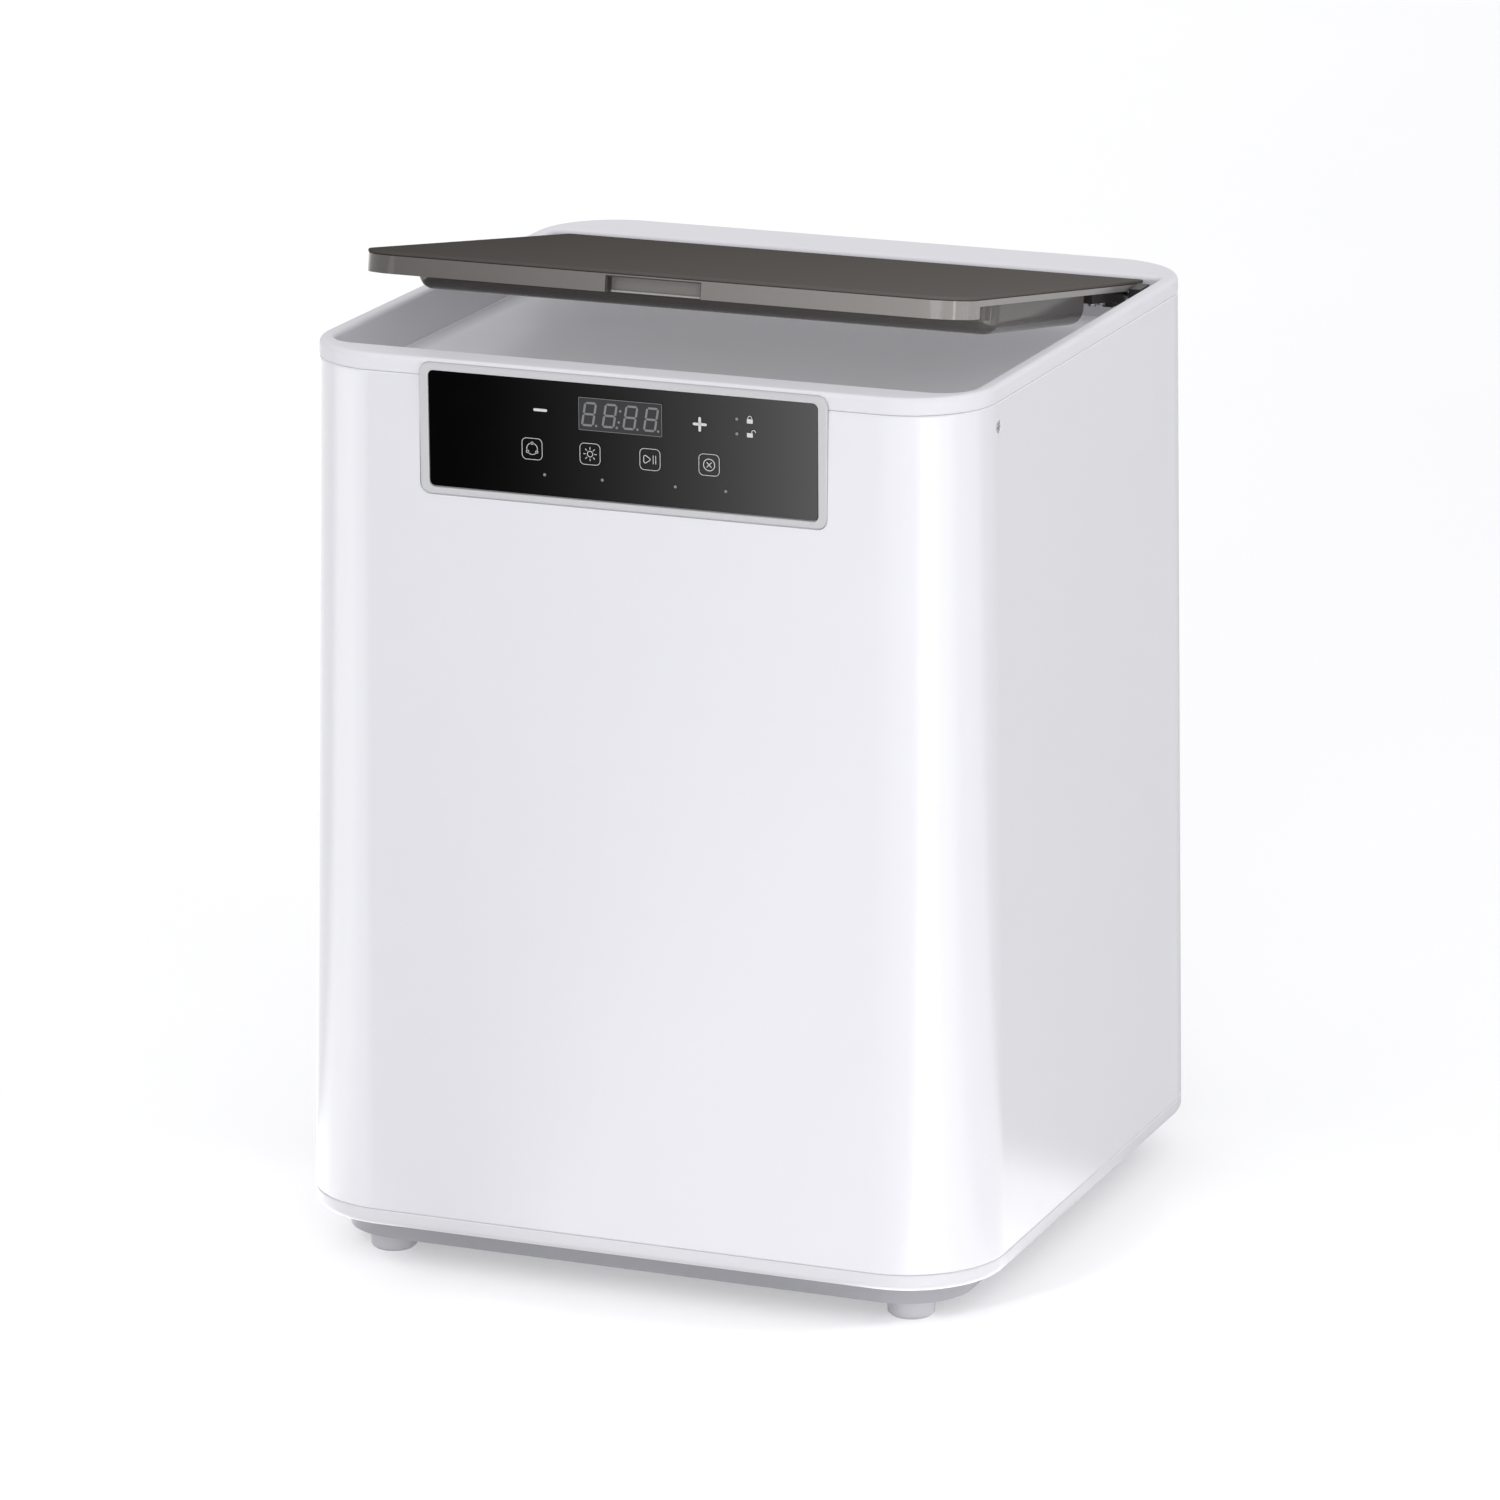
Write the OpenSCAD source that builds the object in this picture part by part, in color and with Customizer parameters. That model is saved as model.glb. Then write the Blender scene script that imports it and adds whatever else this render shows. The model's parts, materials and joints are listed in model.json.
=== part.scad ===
// Resin wash and cure station: a tapered cabinet with a wash tank inside and a smoked lid hinged at the rear.
// Origin: centre of the footprint on the surface that the feet rest on. +Z up, the front faces -Y.

/* [Cabinet] */
// Width and depth of the cabinet at the seam under the rim
top_width = 400; // [380:1:420]
// Draft of the outer walls, in degrees, widening downwards
draft = 1.06; // [0.8:0.02:1.3]
// Corner radius of the cabinet at the seam under the rim
corner_r = 50; // [46:1:54]
// Height of the white shell between its two seams
shell_h = 487; // [480:1:495]
// Wall thickness of the outer shell
shell_t = 3.2; // [2.6:0.1:3.6]
// Height of the rim above its seam
rim_h = 9.8; // [9:0.1:11]
// Height of the base band under its seam
band_h = 10; // [9:0.5:11]
// Height of the plinth
plinth_h = 13.5; // [12:0.5:15]
// Inset of the plinth from the base band
plinth_inset = 19.5; // [17:0.5:22]

/* [Feet] */
// Diameter of a foot
foot_d = 28; // [24:1:30]
// Height of a foot
foot_h = 13; // [10:0.5:14]
// Distance of the feet from the centre line, left and right
foot_x = 159; // [150:1:162]
// Distance of the feet from the centre line, front and rear
foot_y = 165; // [155:1:168]

/* [Lid] */
// Width of the lid
lid_w = 362; // [358:1:364]
// Depth of the lid from its rear edge to its front edge
lid_l = 311.5; // [306:0.5:313]
// Opening angle of the lid as drawn, in degrees
lid_open = 9.2; // [6:0.1:12]
// Distance of the hinge axis from the rear edge of the lid
hinge_s = 20; // [19:0.5:22]
// Depth of the hinge axis under the top face of the lid
hinge_t = 9.5; // [9:0.1:10]
// Corner radius of the lid at the front
lid_r = 25; // [20:1:30]

/* [Opening] */
// Half width of the opening in the rim
open_x = 190.5; // [189.5:0.5:191]
// Distance of the opening's front edge from the centre line
open_front = 176; // [174:0.5:178]
// Distance of the opening's rear edge from the centre line
open_rear = 155.8; // [155.5:0.1:156.5]
// Depth of the tank cover's floor under the rim
cover_depth = 32; // [31:0.5:34]

/* [Panel] */
// Width of the panel glass
glass_w = 230.6; // [226:0.2:232]
// Height of the panel glass
glass_h = 65.8; // [64:0.2:66]
// Width of the bezel
bezel_w = 242; // [240:1:244]
// Height of the bezel
bezel_h = 74.5; // [74:0.5:75]

/* [Tank] */
// Half width of the wash tank
tank_x = 172; // [165:1:173]
// Half depth of the wash tank
tank_y = 151; // [145:1:152]
// Corner radius of the wash tank
tank_r = 30; // [25:1:35]
// Diameter of the impeller
impeller_d = 120; // [90:2:140]
// Number of impeller blades
blades = 6; // [4:1:8]

/* [Hidden] */
$fn = 64;
eps = 0.01;

z_plinth = foot_h;
z_band = z_plinth + plinth_h;
z_shell = z_band + band_h;
z_rim = z_shell + shell_h;
z_top = z_rim + rim_h;
axis_c = top_width / 2 - corner_r;
taper = tan(draft);
// Corner radius of the outside at a height
function outer_r(z) = corner_r + taper * (z_rim - z);
// Half width of the outside at a height
function half_w(z) = axis_c + outer_r(z);

// Opening, collar and tank cover
open_r = 20;
open_rear_r = 4;
open_ax = open_x - open_r;
open_front_ax = open_front - open_r;
open_rear_ax = open_rear - open_r;
open_mid = (open_rear_ax - open_front_ax) / 2;
open_half = (open_rear_ax + open_front_ax) / 2;
collar_t = 2.5;
collar_taper = 2;
collar_bottom = z_top - cover_depth - 3.4;
seam = 0.3;
z_cover = z_top - cover_depth;
deck_t = 3;
rim_wall = 3;

z_panel = z_top - 2 - bezel_h / 2;

// Lid and hinge
lid_top = z_top + 1.5;
hinge_y = open_rear - 3.5 - hinge_s;
hinge_z = lid_top - hinge_t;
plate_t = 2;
plate_gap = 0.3;
flange_t = 5.7;
skirt_t = 12.5;
skirt_wall = 3;
skirt_end = 30;
notch_w = 57;
notch_d = 7;
box_half = 175;
box_rear = 80;
box_front = 241.5;
box_depth = 24;
box_round = 9;
box_plan_r = 10.4;
box_wall = 2.5;
magnet_x = 90;
bumper_h = lid_top - box_depth - z_cover - 0.4;
bumper_x = 100;
bumper_s = box_rear + 9;
arm_x = 173.5;
arm_t = 6;
arm_r = 5.5;
arm_screws = [hinge_s + 34, hinge_s + 50];
pin_r = 2.5;
pin_in = 168;
pin_out = 188.4;
bracket_in = 182;
bracket_t = 7;
bracket_l = 17;

// Chamber, tank and wash gear
chamber_floor = 100;
chamber_t = 3;
liner_x = 180;
liner_front = 168;
liner_rear = 150;
liner_t = 2.5;
liner_r = 24;
liner_top = collar_bottom - 0.2;
tank_cy = (liner_rear - liner_front) / 2;
tank_floor = chamber_floor + chamber_t + 0.4;
tank_t = 3;
tank_top = 488;
tank_rim = 5;
post_r = 3;
running = 0.05;
impeller_z = tank_floor + tank_t + 1.5;
impeller_hub_r = 22;
impeller_h = 20;
guard_z = impeller_z + impeller_h + 14;
guard_r = 100;
basket_x = 125;
basket_y = 95;
basket_z = guard_z + 6;
basket_h = 190;
basket_t = 2;
led_x = 95;
led_z = 150;
led_h = 290;
led_w = 24;
board_y = 166;
board_z = 240;
board_hole_x = 54;
board_hole_z = 39;

// Drive
motor_r = 30;
motor_z = 42;
motor_h = 40;
motor_screw_r = 20;
bracket_z = motor_z + motor_h;
shaft_r = 4;
rotor_z = chamber_floor - 11;
rotor_r = 44;
magnet_r = 6;
magnet_ring = 32;

// Rear services
plate_z = 75;
plate_w = 116;
plate_h = 44;
plate_x = 105;
inlet_x = 128;
switch_x = 74;
switch_tilt = 11;
plate_y = half_w(plate_z) - 1.5;
plate_screws = [plate_x - plate_w / 2 + 10, plate_x - 4, plate_x + plate_w / 2 - 10];
fan_x = -95;
fan_z = 78;
fan_size = 60;
fan_t = 15;
fan_hole = 25;
fan_y = half_w(fan_z + fan_size / 2) - shell_t - 2.1 - fan_t;

// Screws
side_screw_y = -147.4;
side_screw_z = 510;
head_r = 3.5;
base_screw_x = 120;
base_screw_y = 150;

// ---- Helpers -------------------------------------------------------------------------------------------

// Rounded rectangle from corner centres at +-ax, +-ay and a corner radius
module rounded(ax, ay, r) {
    square([2 * (ax + r), 2 * ay], center = true);
    square([2 * ax, 2 * (ay + r)], center = true);
    for (sx = [-1, 1], sy = [-1, 1])
        translate([sx * ax, sy * ay])
            circle(r);
}

// Sweeps a profile, drawn as distance from the corner axis and height, round a rounded rectangle
module ring_sweep(ax, ay) {
    for (q = [0 : 3]) {
        along = (q % 2 == 0) ? ay : ax;
        out = (q % 2 == 0) ? ax : ay;
        rotate([0, 0, 90 * q]) {
            translate([out, along, 0])
                rotate_extrude(angle = 90)
                    children();
            translate([out, along, 0])
                rotate([90, 0, 0])
                    linear_extrude(2 * along)
                        children();
        }
    }
}

// Places children on the sloping front face at a height: X right, Y into the cabinet, Z up the face
module on_front(z) {
    translate([0, -half_w(z), z])
        rotate([draft, 0, 0])
            children();
}

// Plate with rounded corners lying in the local XZ plane, its outer face at y
module face_plate(w, h, r, y, t) {
    translate([0, y + t, 0])
        rotate([90, 0, 0])
            linear_extrude(t)
                rounded(w / 2 - r, h / 2 - r, r);
}

// Lid frame of reference: X across, Y from the rear edge towards the front as -Y, Z up with the top face at 0
module in_lid() {
    translate([0, hinge_y, hinge_z])
        rotate([-lid_open, 0, 0])
            translate([0, hinge_s, hinge_t])
                children();
}

// Outline with one corner radius at the front and another at the rear
module outline(half, front, rear, front_r, rear_r) {
    translate([-half, front + front_r])
        square([2 * half, rear - rear_r - front - front_r]);
    translate([-half + rear_r, rear - rear_r - eps])
        square([2 * (half - rear_r), rear_r + eps]);
    translate([-half + front_r, front])
        square([2 * (half - front_r), front_r + eps]);
    for (sx = [-1, 1]) {
        translate([sx * (half - rear_r), rear - rear_r])
            circle(rear_r);
        translate([sx * (half - front_r), front + front_r])
            circle(front_r);
    }
}

// Outline of the lid, inset all round
module lid_outline(inset) {
    outline(lid_w / 2 - inset, -lid_l + inset, -inset, lid_r - inset, 3);
}

// Outline of the opening, grown all round
module opening_outline(grow) {
    outline(open_x + grow, -open_front - grow, open_rear + grow, open_r + grow, open_rear_r + grow);
}

// Sweeps a profile, drawn as distance outside the edge and height, round the edge of the opening
module opening_sweep() {
    rear = [open_x - open_rear_r, open_rear - open_rear_r, open_rear_r];
    front = [open_x - open_r, -open_front + open_r, open_r];
    corners = [rear, [-rear[0], rear[1], rear[2]], [-front[0], front[1], front[2]], front];
    for (q = [0 : 3]) {
        c = corners[q];
        before = corners[(q + 3) % 4];
        run = (q % 2 == 0) ? abs(c[1] - before[1]) : abs(c[0] - before[0]);
        translate([c[0], c[1], 0])
            rotate([0, 0, 90 * q]) {
                rotate_extrude(angle = 90)
                    translate([c[2], 0])
                        children();
                translate([c[2], 0, 0])
                    rotate([90, 0, 0])
                        linear_extrude(run)
                            children();
            }
    }
}

// Countersunk screw along +Z with its head's face at z = 0 and its shank below
module screw(head, shank, length) {
    difference() {
        union() {
            translate([0, 0, -1])
                cylinder(r = head, h = 1);
            translate([0, 0, -1 - (head - shank)])
                cylinder(r1 = shank, r2 = head, h = head - shank);
            translate([0, 0, -length])
                cylinder(r = shank, h = length - 1);
        }
        translate([0, 0, -1])
            cylinder(r = head * 0.5, h = 2, $fn = 6);
    }
}

// ---- Cabinet -------------------------------------------------------------------------------------------

module shell_profile() {
    polygon([
        [outer_r(z_rim) - shell_t, z_rim],
        [outer_r(z_rim), z_rim],
        [outer_r(z_shell), z_shell],
        [outer_r(z_shell) - shell_t, z_shell]
    ]);
}

module outer_shell() {
    color("whitesmoke")
    difference() {
        ring_sweep(axis_c, axis_c)
            shell_profile();
        // Opening for the bezel, cut down from the top edge
        on_front(z_panel)
            face_plate(bezel_w + 0.4, bezel_h + 0.4, 6.2, -6, 16);
        // Socket plate opening
        translate([plate_x - plate_w / 2 + 4, half_w(z_rim) - 5, plate_z - plate_h / 2 + 4])
            cube([plate_w - 8, 40, plate_h - 8]);
        // Shallow seat for the socket plate
        translate([plate_x - plate_w / 2 - 0.2, half_w(plate_z) - 1.6, plate_z - plate_h / 2 - 0.2])
            cube([plate_w + 0.4, 6, plate_h + 0.4]);
        // Fan outlet
        translate([fan_x, half_w(z_rim), fan_z])
            rotate([-90, 0, 0])
                cylinder(r = fan_size / 2 - 2, h = 20);
        // Side screw holes
        for (sx = [-1, 1])
            translate([sx * (half_w(side_screw_z) - 10), side_screw_y, side_screw_z])
                rotate([0, sx * 90, 0]) {
                    cylinder(r = 1.7, h = 20);
                    translate([0, 0, 10 - 3.6])
                        cylinder(r1 = 1.7, r2 = head_r + 0.1, h = 1.9);
                    translate([0, 0, 10 - 1.7 - eps])
                        cylinder(r = head_r + 0.1, h = 10);
                }
    }
}

module rim_edge_profile() {
    round_r = 3;
    deck_in = 8;
    outer = outer_r(z_top);
    difference() {
        translate([0, z_rim])
            polygon([
                [outer - deck_in, rim_h - deck_t],
                [outer - rim_wall, rim_h - deck_t],
                [outer - rim_wall, seam],
                [outer_r(z_rim), seam],
                [outer, rim_h],
                [outer - deck_in, rim_h]
            ]);
        difference() {
            translate([outer - round_r, z_top - round_r])
                square(2 * round_r);
            translate([outer - round_r, z_top - round_r])
                circle(round_r);
        }
    }
}

module collar_profile() {
    round_r = 3;
    difference() {
        polygon([
            [0, z_top],
            [-collar_taper, collar_bottom],
            [-collar_taper + collar_t, collar_bottom],
            [collar_t, z_top - deck_t],
            [8, z_top - deck_t],
            [8, z_top]
        ]);
        difference() {
            translate([-1, z_top - round_r])
                square([round_r + 1, round_r + 1]);
            translate([round_r, z_top - round_r])
                circle(round_r);
        }
    }
}

module rim_frame() {
    boss_x = open_x + 3.4;
    boss_t = 5.4;
    color("lightgray")
    difference() {
        union() {
            ring_sweep(axis_c, axis_c)
                rim_edge_profile();
            opening_sweep()
                collar_profile();
            // Deck between the collar and the outer edge
            translate([0, 0, z_top - deck_t])
                linear_extrude(deck_t)
                    difference() {
                        rounded(axis_c, axis_c, outer_r(z_top) - 6);
                        opening_outline(4);
                    }
            // Side bosses that take the shell's side screws
            for (sx = [-1, 1])
                translate([sx * boss_x - boss_t / 2, side_screw_y - 6, side_screw_z - 6])
                    cube([boss_t, 12, z_top - deck_t - side_screw_z + 6 + eps]);
        }
        // Room for the bezel
        on_front(z_panel)
            face_plate(bezel_w + 0.4, bezel_h + 0.4, 6.2, -6, 14.2);
        // Side screw holes
        for (sx = [-1, 1])
            translate([sx * (boss_x - 1.8), side_screw_y, side_screw_z])
                rotate([0, sx * 90, 0])
                    cylinder(r = 1.5, h = 20);
    }
}

module panel_bezel() {
    color("silver")
    on_front(z_panel)
        difference() {
            face_plate(bezel_w, bezel_h, 6, -0.8, 8.8);
            translate([0, 0, 0.4])
                face_plate(glass_w + 0.6, glass_h + 0.6, 3.3, -2, 5);
            translate([0, 0, 0.4])
                face_plate(glass_w - 8, glass_h - 8, 2, -2, 20);
        }
}

module panel_glass() {
    color("black")
    on_front(z_panel)
        translate([0, 0, 0.4])
            face_plate(glass_w, glass_h, 3, -0.5, 3);
}

module display_module() {
    color("dimgray")
    on_front(z_panel) {
        translate([-25, 2.9, 6])
            cube([50, 6, 21]);
        for (k = [0 : 3])
            translate([-21 + k * 12, 2.7, 9])
                cube([9, 0.3, 15]);
    }
}

module touch_key_board() {
    color("darkgreen")
    on_front(z_panel) {
        difference() {
            translate([-105, 9.2, -26])
                cube([210, 1.6, 52]);
            for (sx = [-1, 1], sz = [-1, 1])
                translate([sx * 100, 8, sz * 21])
                    rotate([-90, 0, 0])
                        cylinder(r = 1.6, h = 5);
        }
        for (k = [0 : 3])
            translate([-55 + k * 35, 5, -10])
                cube([8, 4.3, 8]);
        translate([60, 10.7, -12])
            cube([24, 3, 8]);
    }
}

module base_tray() {
    round_r = 4.4;
    r = outer_r(z_shell);
    color("lightgray")
    difference() {
        union() {
            ring_sweep(axis_c, axis_c)
                difference() {
                    translate([r - 4, z_band])
                        square([4, band_h - seam]);
                    difference() {
                        translate([r - round_r, z_band - 1])
                            square([round_r + 1, round_r + 1]);
                        translate([r - round_r, z_band + round_r])
                            circle(round_r);
                    }
                }
            // Floor
            translate([0, 0, z_band])
                linear_extrude(3)
                    rounded(axis_c, axis_c, r - 3.5);
            // Lip inside the shell
            ring_sweep(axis_c, axis_c)
                translate([r - shell_t - 0.3 - 2.5, z_band + 2])
                    square([2.5, band_h + 6]);
        }
        // Screw holes to the plinth cover
        for (sx = [-1, 1], sy = [-1, 1])
            translate([sx * base_screw_x, sy * base_screw_y, z_band - 1])
                cylinder(r = 1.6, h = 6);
        // Intake slots under the motor
        for (k = [-4 : 4])
            translate([k * 9 - 2, tank_cy - 30, z_band - 1])
                cube([4, 60, 6]);
    }
}

module plinth_cover() {
    r = outer_r(z_shell) - plinth_inset;
    color("darkgray")
    difference() {
        translate([0, 0, z_plinth])
            linear_extrude(plinth_h - 0.2)
                rounded(axis_c, axis_c, r);
        translate([0, 0, z_plinth + 3])
            linear_extrude(plinth_h)
                difference() {
                    rounded(axis_c, axis_c, r - 3);
                    for (sx = [-1, 1], sy = [-1, 1]) {
                        translate([sx * base_screw_x, sy * base_screw_y])
                            circle(6);
                        translate([sx * foot_x, sy * foot_y])
                            circle(7);
                    }
                }
        for (sx = [-1, 1], sy = [-1, 1]) {
            translate([sx * base_screw_x, sy * base_screw_y, z_plinth - 1])
                cylinder(r = 2.1, h = 20);
            translate([sx * base_screw_x, sy * base_screw_y, z_plinth - 1])
                cylinder(r = head_r + 0.15, h = 5.4);
            translate([sx * foot_x, sy * foot_y, z_plinth - 1])
                cylinder(r = 1.6, h = 12);
        }
        // Intake slots under the motor
        for (k = [-4 : 4])
            translate([k * 9 - 2, tank_cy - 30, z_plinth - 1])
                cube([4, 60, 6]);
    }
}

module foot(sx, sy) {
    top = foot_h - 0.1;
    bore_r = 2.1;
    sink_r = 5;
    sink_h = 5;
    color("gray")
    translate([sx * foot_x, sy * foot_y, 0])
        rotate_extrude()
            polygon([
                [sink_r, 0],
                [foot_d / 2 - 2.5, 0],
                [foot_d / 2 - 0.7, 1.8],
                [foot_d / 2, top],
                [bore_r, top],
                [bore_r, sink_h],
                [sink_r, sink_h]
            ]);
}

module foot_screws() {
    color("silver")
    for (sx = [-1, 1], sy = [-1, 1])
        translate([sx * foot_x, sy * foot_y, 0]) {
            difference() {
                translate([0, 0, 2.2])
                    cylinder(r = 4, h = 2.7);
                translate([0, 0, 1])
                    cylinder(r = 1.8, h = 3, $fn = 6);
            }
            translate([0, 0, 4.9 - eps])
                cylinder(r = 1.55, h = 15);
        }
}

module base_screws() {
    color("silver")
    for (sx = [-1, 1], sy = [-1, 1])
        translate([sx * base_screw_x, sy * base_screw_y, z_plinth + 1.2])
            rotate([180, 0, 0])
                screw(head_r, 1.55, 17);
}

module side_screws() {
    color("dimgray")
    for (sx = [-1, 1])
        translate([sx * (half_w(side_screw_z) - 0.4), side_screw_y, side_screw_z])
            rotate([0, sx * 90, 0])
                screw(head_r - 0.1, 1.45, 7.5);
}

// ---- Lid -----------------------------------------------------------------------------------------------

module lid_plate() {
    color([0.3, 0.28, 0.26])
    in_lid() {
        translate([0, 0, -plate_t])
            linear_extrude(plate_t - 0.6)
                lid_outline(0);
        translate([0, 0, -0.6 - eps])
            linear_extrude(0.6 + eps)
                lid_outline(0.6);
    }
}

module lid_frame() {
    top = -plate_t - plate_gap;
    flange_w = 14;
    color([0.45, 0.43, 0.41])
    in_lid()
        difference() {
            union() {
                // Flange round the edge
                translate([0, 0, -flange_t])
                    linear_extrude(top + flange_t)
                        difference() {
                            lid_outline(0);
                            translate([-lid_w / 2 + flange_w, -lid_l + flange_w + 4])
                                square([lid_w - 2 * flange_w, lid_l - 2 * flange_w - 4]);
                        }
                // Front skirt, turning back round both front corners
                translate([0, 0, -skirt_t])
                    linear_extrude(skirt_t - flange_t + eps)
                        intersection() {
                            difference() {
                                lid_outline(0);
                                lid_outline(skirt_wall);
                            }
                            translate([-lid_w, -lid_l - 1])
                                square([2 * lid_w, skirt_end + 1]);
                        }
                // Set back wall of the finger notch
                translate([-notch_w / 2 - skirt_wall, -lid_l, -skirt_t])
                    cube([notch_w + 2 * skirt_wall, notch_d + skirt_wall, skirt_t - flange_t + eps]);
                // Pocket for the magnet
                translate([magnet_x - 7, -lid_l + 1, -skirt_t])
                    cube([14, 8, skirt_t - flange_t + eps]);
            }
            // Finger notch
            translate([-notch_w / 2, -lid_l - 1, -skirt_t - 1])
                cube([notch_w, notch_d + 1, skirt_t + 1 - 3.1]);
            // Magnet pocket
            translate([magnet_x - 5.1, -lid_l + 2.9, -skirt_t + 1])
                cube([10.2, 4.2, 12]);
            for (sx = [-1, 1]) {
                // Relief over the boss of each hinge arm
                translate([sx * arm_x - arm_t / 2 - 0.4, -hinge_s, -hinge_t])
                    rotate([0, 90, 0])
                        cylinder(r = arm_r + 0.3, h = arm_t + 0.8);
                for (at = arm_screws)
                    translate([sx * arm_x, -at, -flange_t - 1])
                        cylinder(r = 1.25, h = 6);
            }
        }
}

module box_profile() {
    difference() {
        translate([0, -box_depth])
            square([box_plan_r, box_depth - flange_t - 0.2]);
        difference() {
            translate([box_plan_r - box_round, -box_depth - 1])
                square([box_round + 1, box_round + 1]);
            translate([box_plan_r - box_round, -box_depth + box_round])
                circle(box_round);
        }
        translate([-1, -box_depth + box_wall])
            square([box_plan_r - box_wall + 1, box_depth]);
    }
}

module lid_box() {
    half_l = (box_front - box_rear) / 2;
    floor_x = box_half - box_plan_r + 1;
    floor_y = half_l - box_plan_r + 1;
    color([0.35, 0.33, 0.3])
    in_lid()
        translate([0, -(box_front + box_rear) / 2, 0]) {
            ring_sweep(box_half - box_plan_r, half_l - box_plan_r)
                box_profile();
            translate([-floor_x, -floor_y, -box_depth])
                cube([2 * floor_x, 2 * floor_y, box_wall]);
        }
}

module lid_arm(sx) {
    foot_l = 46;
    color("dimgray")
    in_lid()
        translate([sx * arm_x - arm_t / 2, 0, 0])
            difference() {
                union() {
                    // Boss round the pin
                    translate([0, -hinge_s, -hinge_t])
                        rotate([0, 90, 0])
                            cylinder(r = arm_r, h = arm_t);
                    // Neck
                    translate([0, -hinge_s - 22, -hinge_t - arm_r])
                        cube([arm_t, 22, 2 * arm_r - 2]);
                    // Foot under the flange
                    translate([0, -hinge_s - 22 - foot_l + 10, -flange_t - 0.1 - 6])
                        cube([arm_t, foot_l, 6]);
                }
                translate([-1, -hinge_s, -hinge_t])
                    rotate([0, 90, 0])
                        cylinder(r = pin_r + running, h = arm_t + 2);
                for (at = arm_screws)
                    translate([arm_t / 2, -at, -flange_t - 10])
                        cylinder(r = 1.25, h = 12);
                // Hollow of the gooseneck
                translate([-1, -hinge_s - 15, -hinge_t - arm_r - 2])
                    rotate([0, 90, 0])
                        cylinder(r = 5, h = arm_t + 2);
            }
}

module lid_arm_screws() {
    color("silver")
    in_lid()
        for (sx = [-1, 1], at = arm_screws)
            translate([sx * arm_x, -at, -flange_t - 6.15]) {
                translate([0, 0, -1.6])
                    cylinder(r = 2.4, h = 1.6);
                translate([0, 0, -0.1])
                    cylinder(r = 1.2, h = 9);
            }
}

module lid_magnet() {
    color("silver")
    in_lid()
        translate([magnet_x - 5, -lid_l + 3, -skirt_t + 1.1])
            cube([10, 4, 5.5]);
}

module hinge_bracket(sx) {
    color("gray")
    difference() {
        translate([sx * (bracket_in + bracket_t / 2) - bracket_t / 2, hinge_y - 10, hinge_z - 12])
            cube([bracket_t, bracket_l, 19]);
        translate([sx * pin_in, hinge_y, hinge_z])
            rotate([0, sx * 90, 0])
                cylinder(r = pin_r + 0.02, h = 30);
    }
}

module hinge_pin(sx) {
    color("lightgray")
    translate([sx * pin_in, hinge_y, hinge_z])
        rotate([0, sx * 90, 0])
            cylinder(r = pin_r, h = pin_out - pin_in);
}

module lid_bumpers() {
    color("darkslategray")
    in_lid()
        for (sx = [-1, 1])
            translate([sx * bumper_x, -bumper_s, -box_depth - bumper_h])
                cylinder(r1 = 4.5, r2 = 6, h = bumper_h - 0.05);
}

module lid_sensor() {
    color("darkgreen")
    translate([magnet_x - 8, -open_front - 8.5, z_top - 22]) {
        cube([16, 1.6, 17]);
        translate([6, 1.5, 8])
            cube([4, 1.5, 3]);
    }
}

// ---- Tank cover, chamber and tank ----------------------------------------------------------------------

module cover_profile() {
    round_r = 7;
    lip_t = 1.2;
    lip = open_r - collar_taper - 0.7;
    difference() {
        translate([0, z_cover - 3])
            square([lip, 3 + round_r]);
        translate([-1, z_cover])
            square([lip - round_r + 1, round_r + 1]);
        translate([lip - round_r, z_cover + round_r])
            circle(round_r - lip_t);
    }
}

module tank_cover() {
    color("darkgray")
    difference() {
        union() {
            translate([0, open_mid, 0])
                ring_sweep(open_ax, open_half)
                    cover_profile();
            translate([0, 0, z_cover - 3])
                linear_extrude(3)
                    opening_outline(-collar_taper - 0.7);
        }
        // Notches that clear the hinge brackets
        for (sx = [-1, 1])
            translate([sx * (bracket_in + 6) - 6.4, hinge_y - 11, z_cover - 5])
                cube([12.8, 22, 20]);
    }
}

module cover_seal() {
    color("darkslategray")
    translate([0, tank_cy, tank_top + 0.1])
        linear_extrude(z_cover - 3 - tank_top - 0.2)
            difference() {
                rounded(tank_x - tank_r, tank_y - tank_r, tank_r - 0.5);
                rounded(tank_x - tank_r, tank_y - tank_r, tank_r - 4.5);
            }
}

module chamber_liner() {
    ly = (liner_rear + liner_front) / 2;
    color("gray")
    difference() {
        union() {
            translate([0, tank_cy, chamber_floor])
                linear_extrude(liner_top - chamber_floor)
                    rounded(liner_x - liner_r, ly - liner_r, liner_r + liner_t);
            translate([0, tank_cy, liner_top - 2.5])
                linear_extrude(2.5)
                    rounded(liner_x - liner_r, ly - liner_r, liner_r + 5);
        }
        translate([0, tank_cy, chamber_floor + chamber_t])
            linear_extrude(liner_top)
                rounded(liner_x - liner_r, ly - liner_r, liner_r);
        // Windows for the ultraviolet light boards
        for (sx = [-1, 1])
            translate([sx * led_x - led_w / 2 - 0.2, liner_rear - 1, led_z - 0.2])
                cube([led_w + 0.4, 6, led_h + 0.4]);
    }
}

module wash_tank() {
    color([0.75, 0.78, 0.8, 0.6])
    translate([0, tank_cy, 0])
        difference() {
            union() {
                translate([0, 0, tank_floor])
                    linear_extrude(tank_top - tank_floor)
                        rounded(tank_x - tank_r, tank_y - tank_r, tank_r);
                translate([0, 0, tank_top - 3])
                    linear_extrude(3)
                        rounded(tank_x - tank_r, tank_y - tank_r, tank_r + tank_rim);
            }
            translate([0, 0, tank_floor + tank_t])
                linear_extrude(tank_top)
                    rounded(tank_x - tank_r, tank_y - tank_r, tank_r - tank_t);
        }
}

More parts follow.
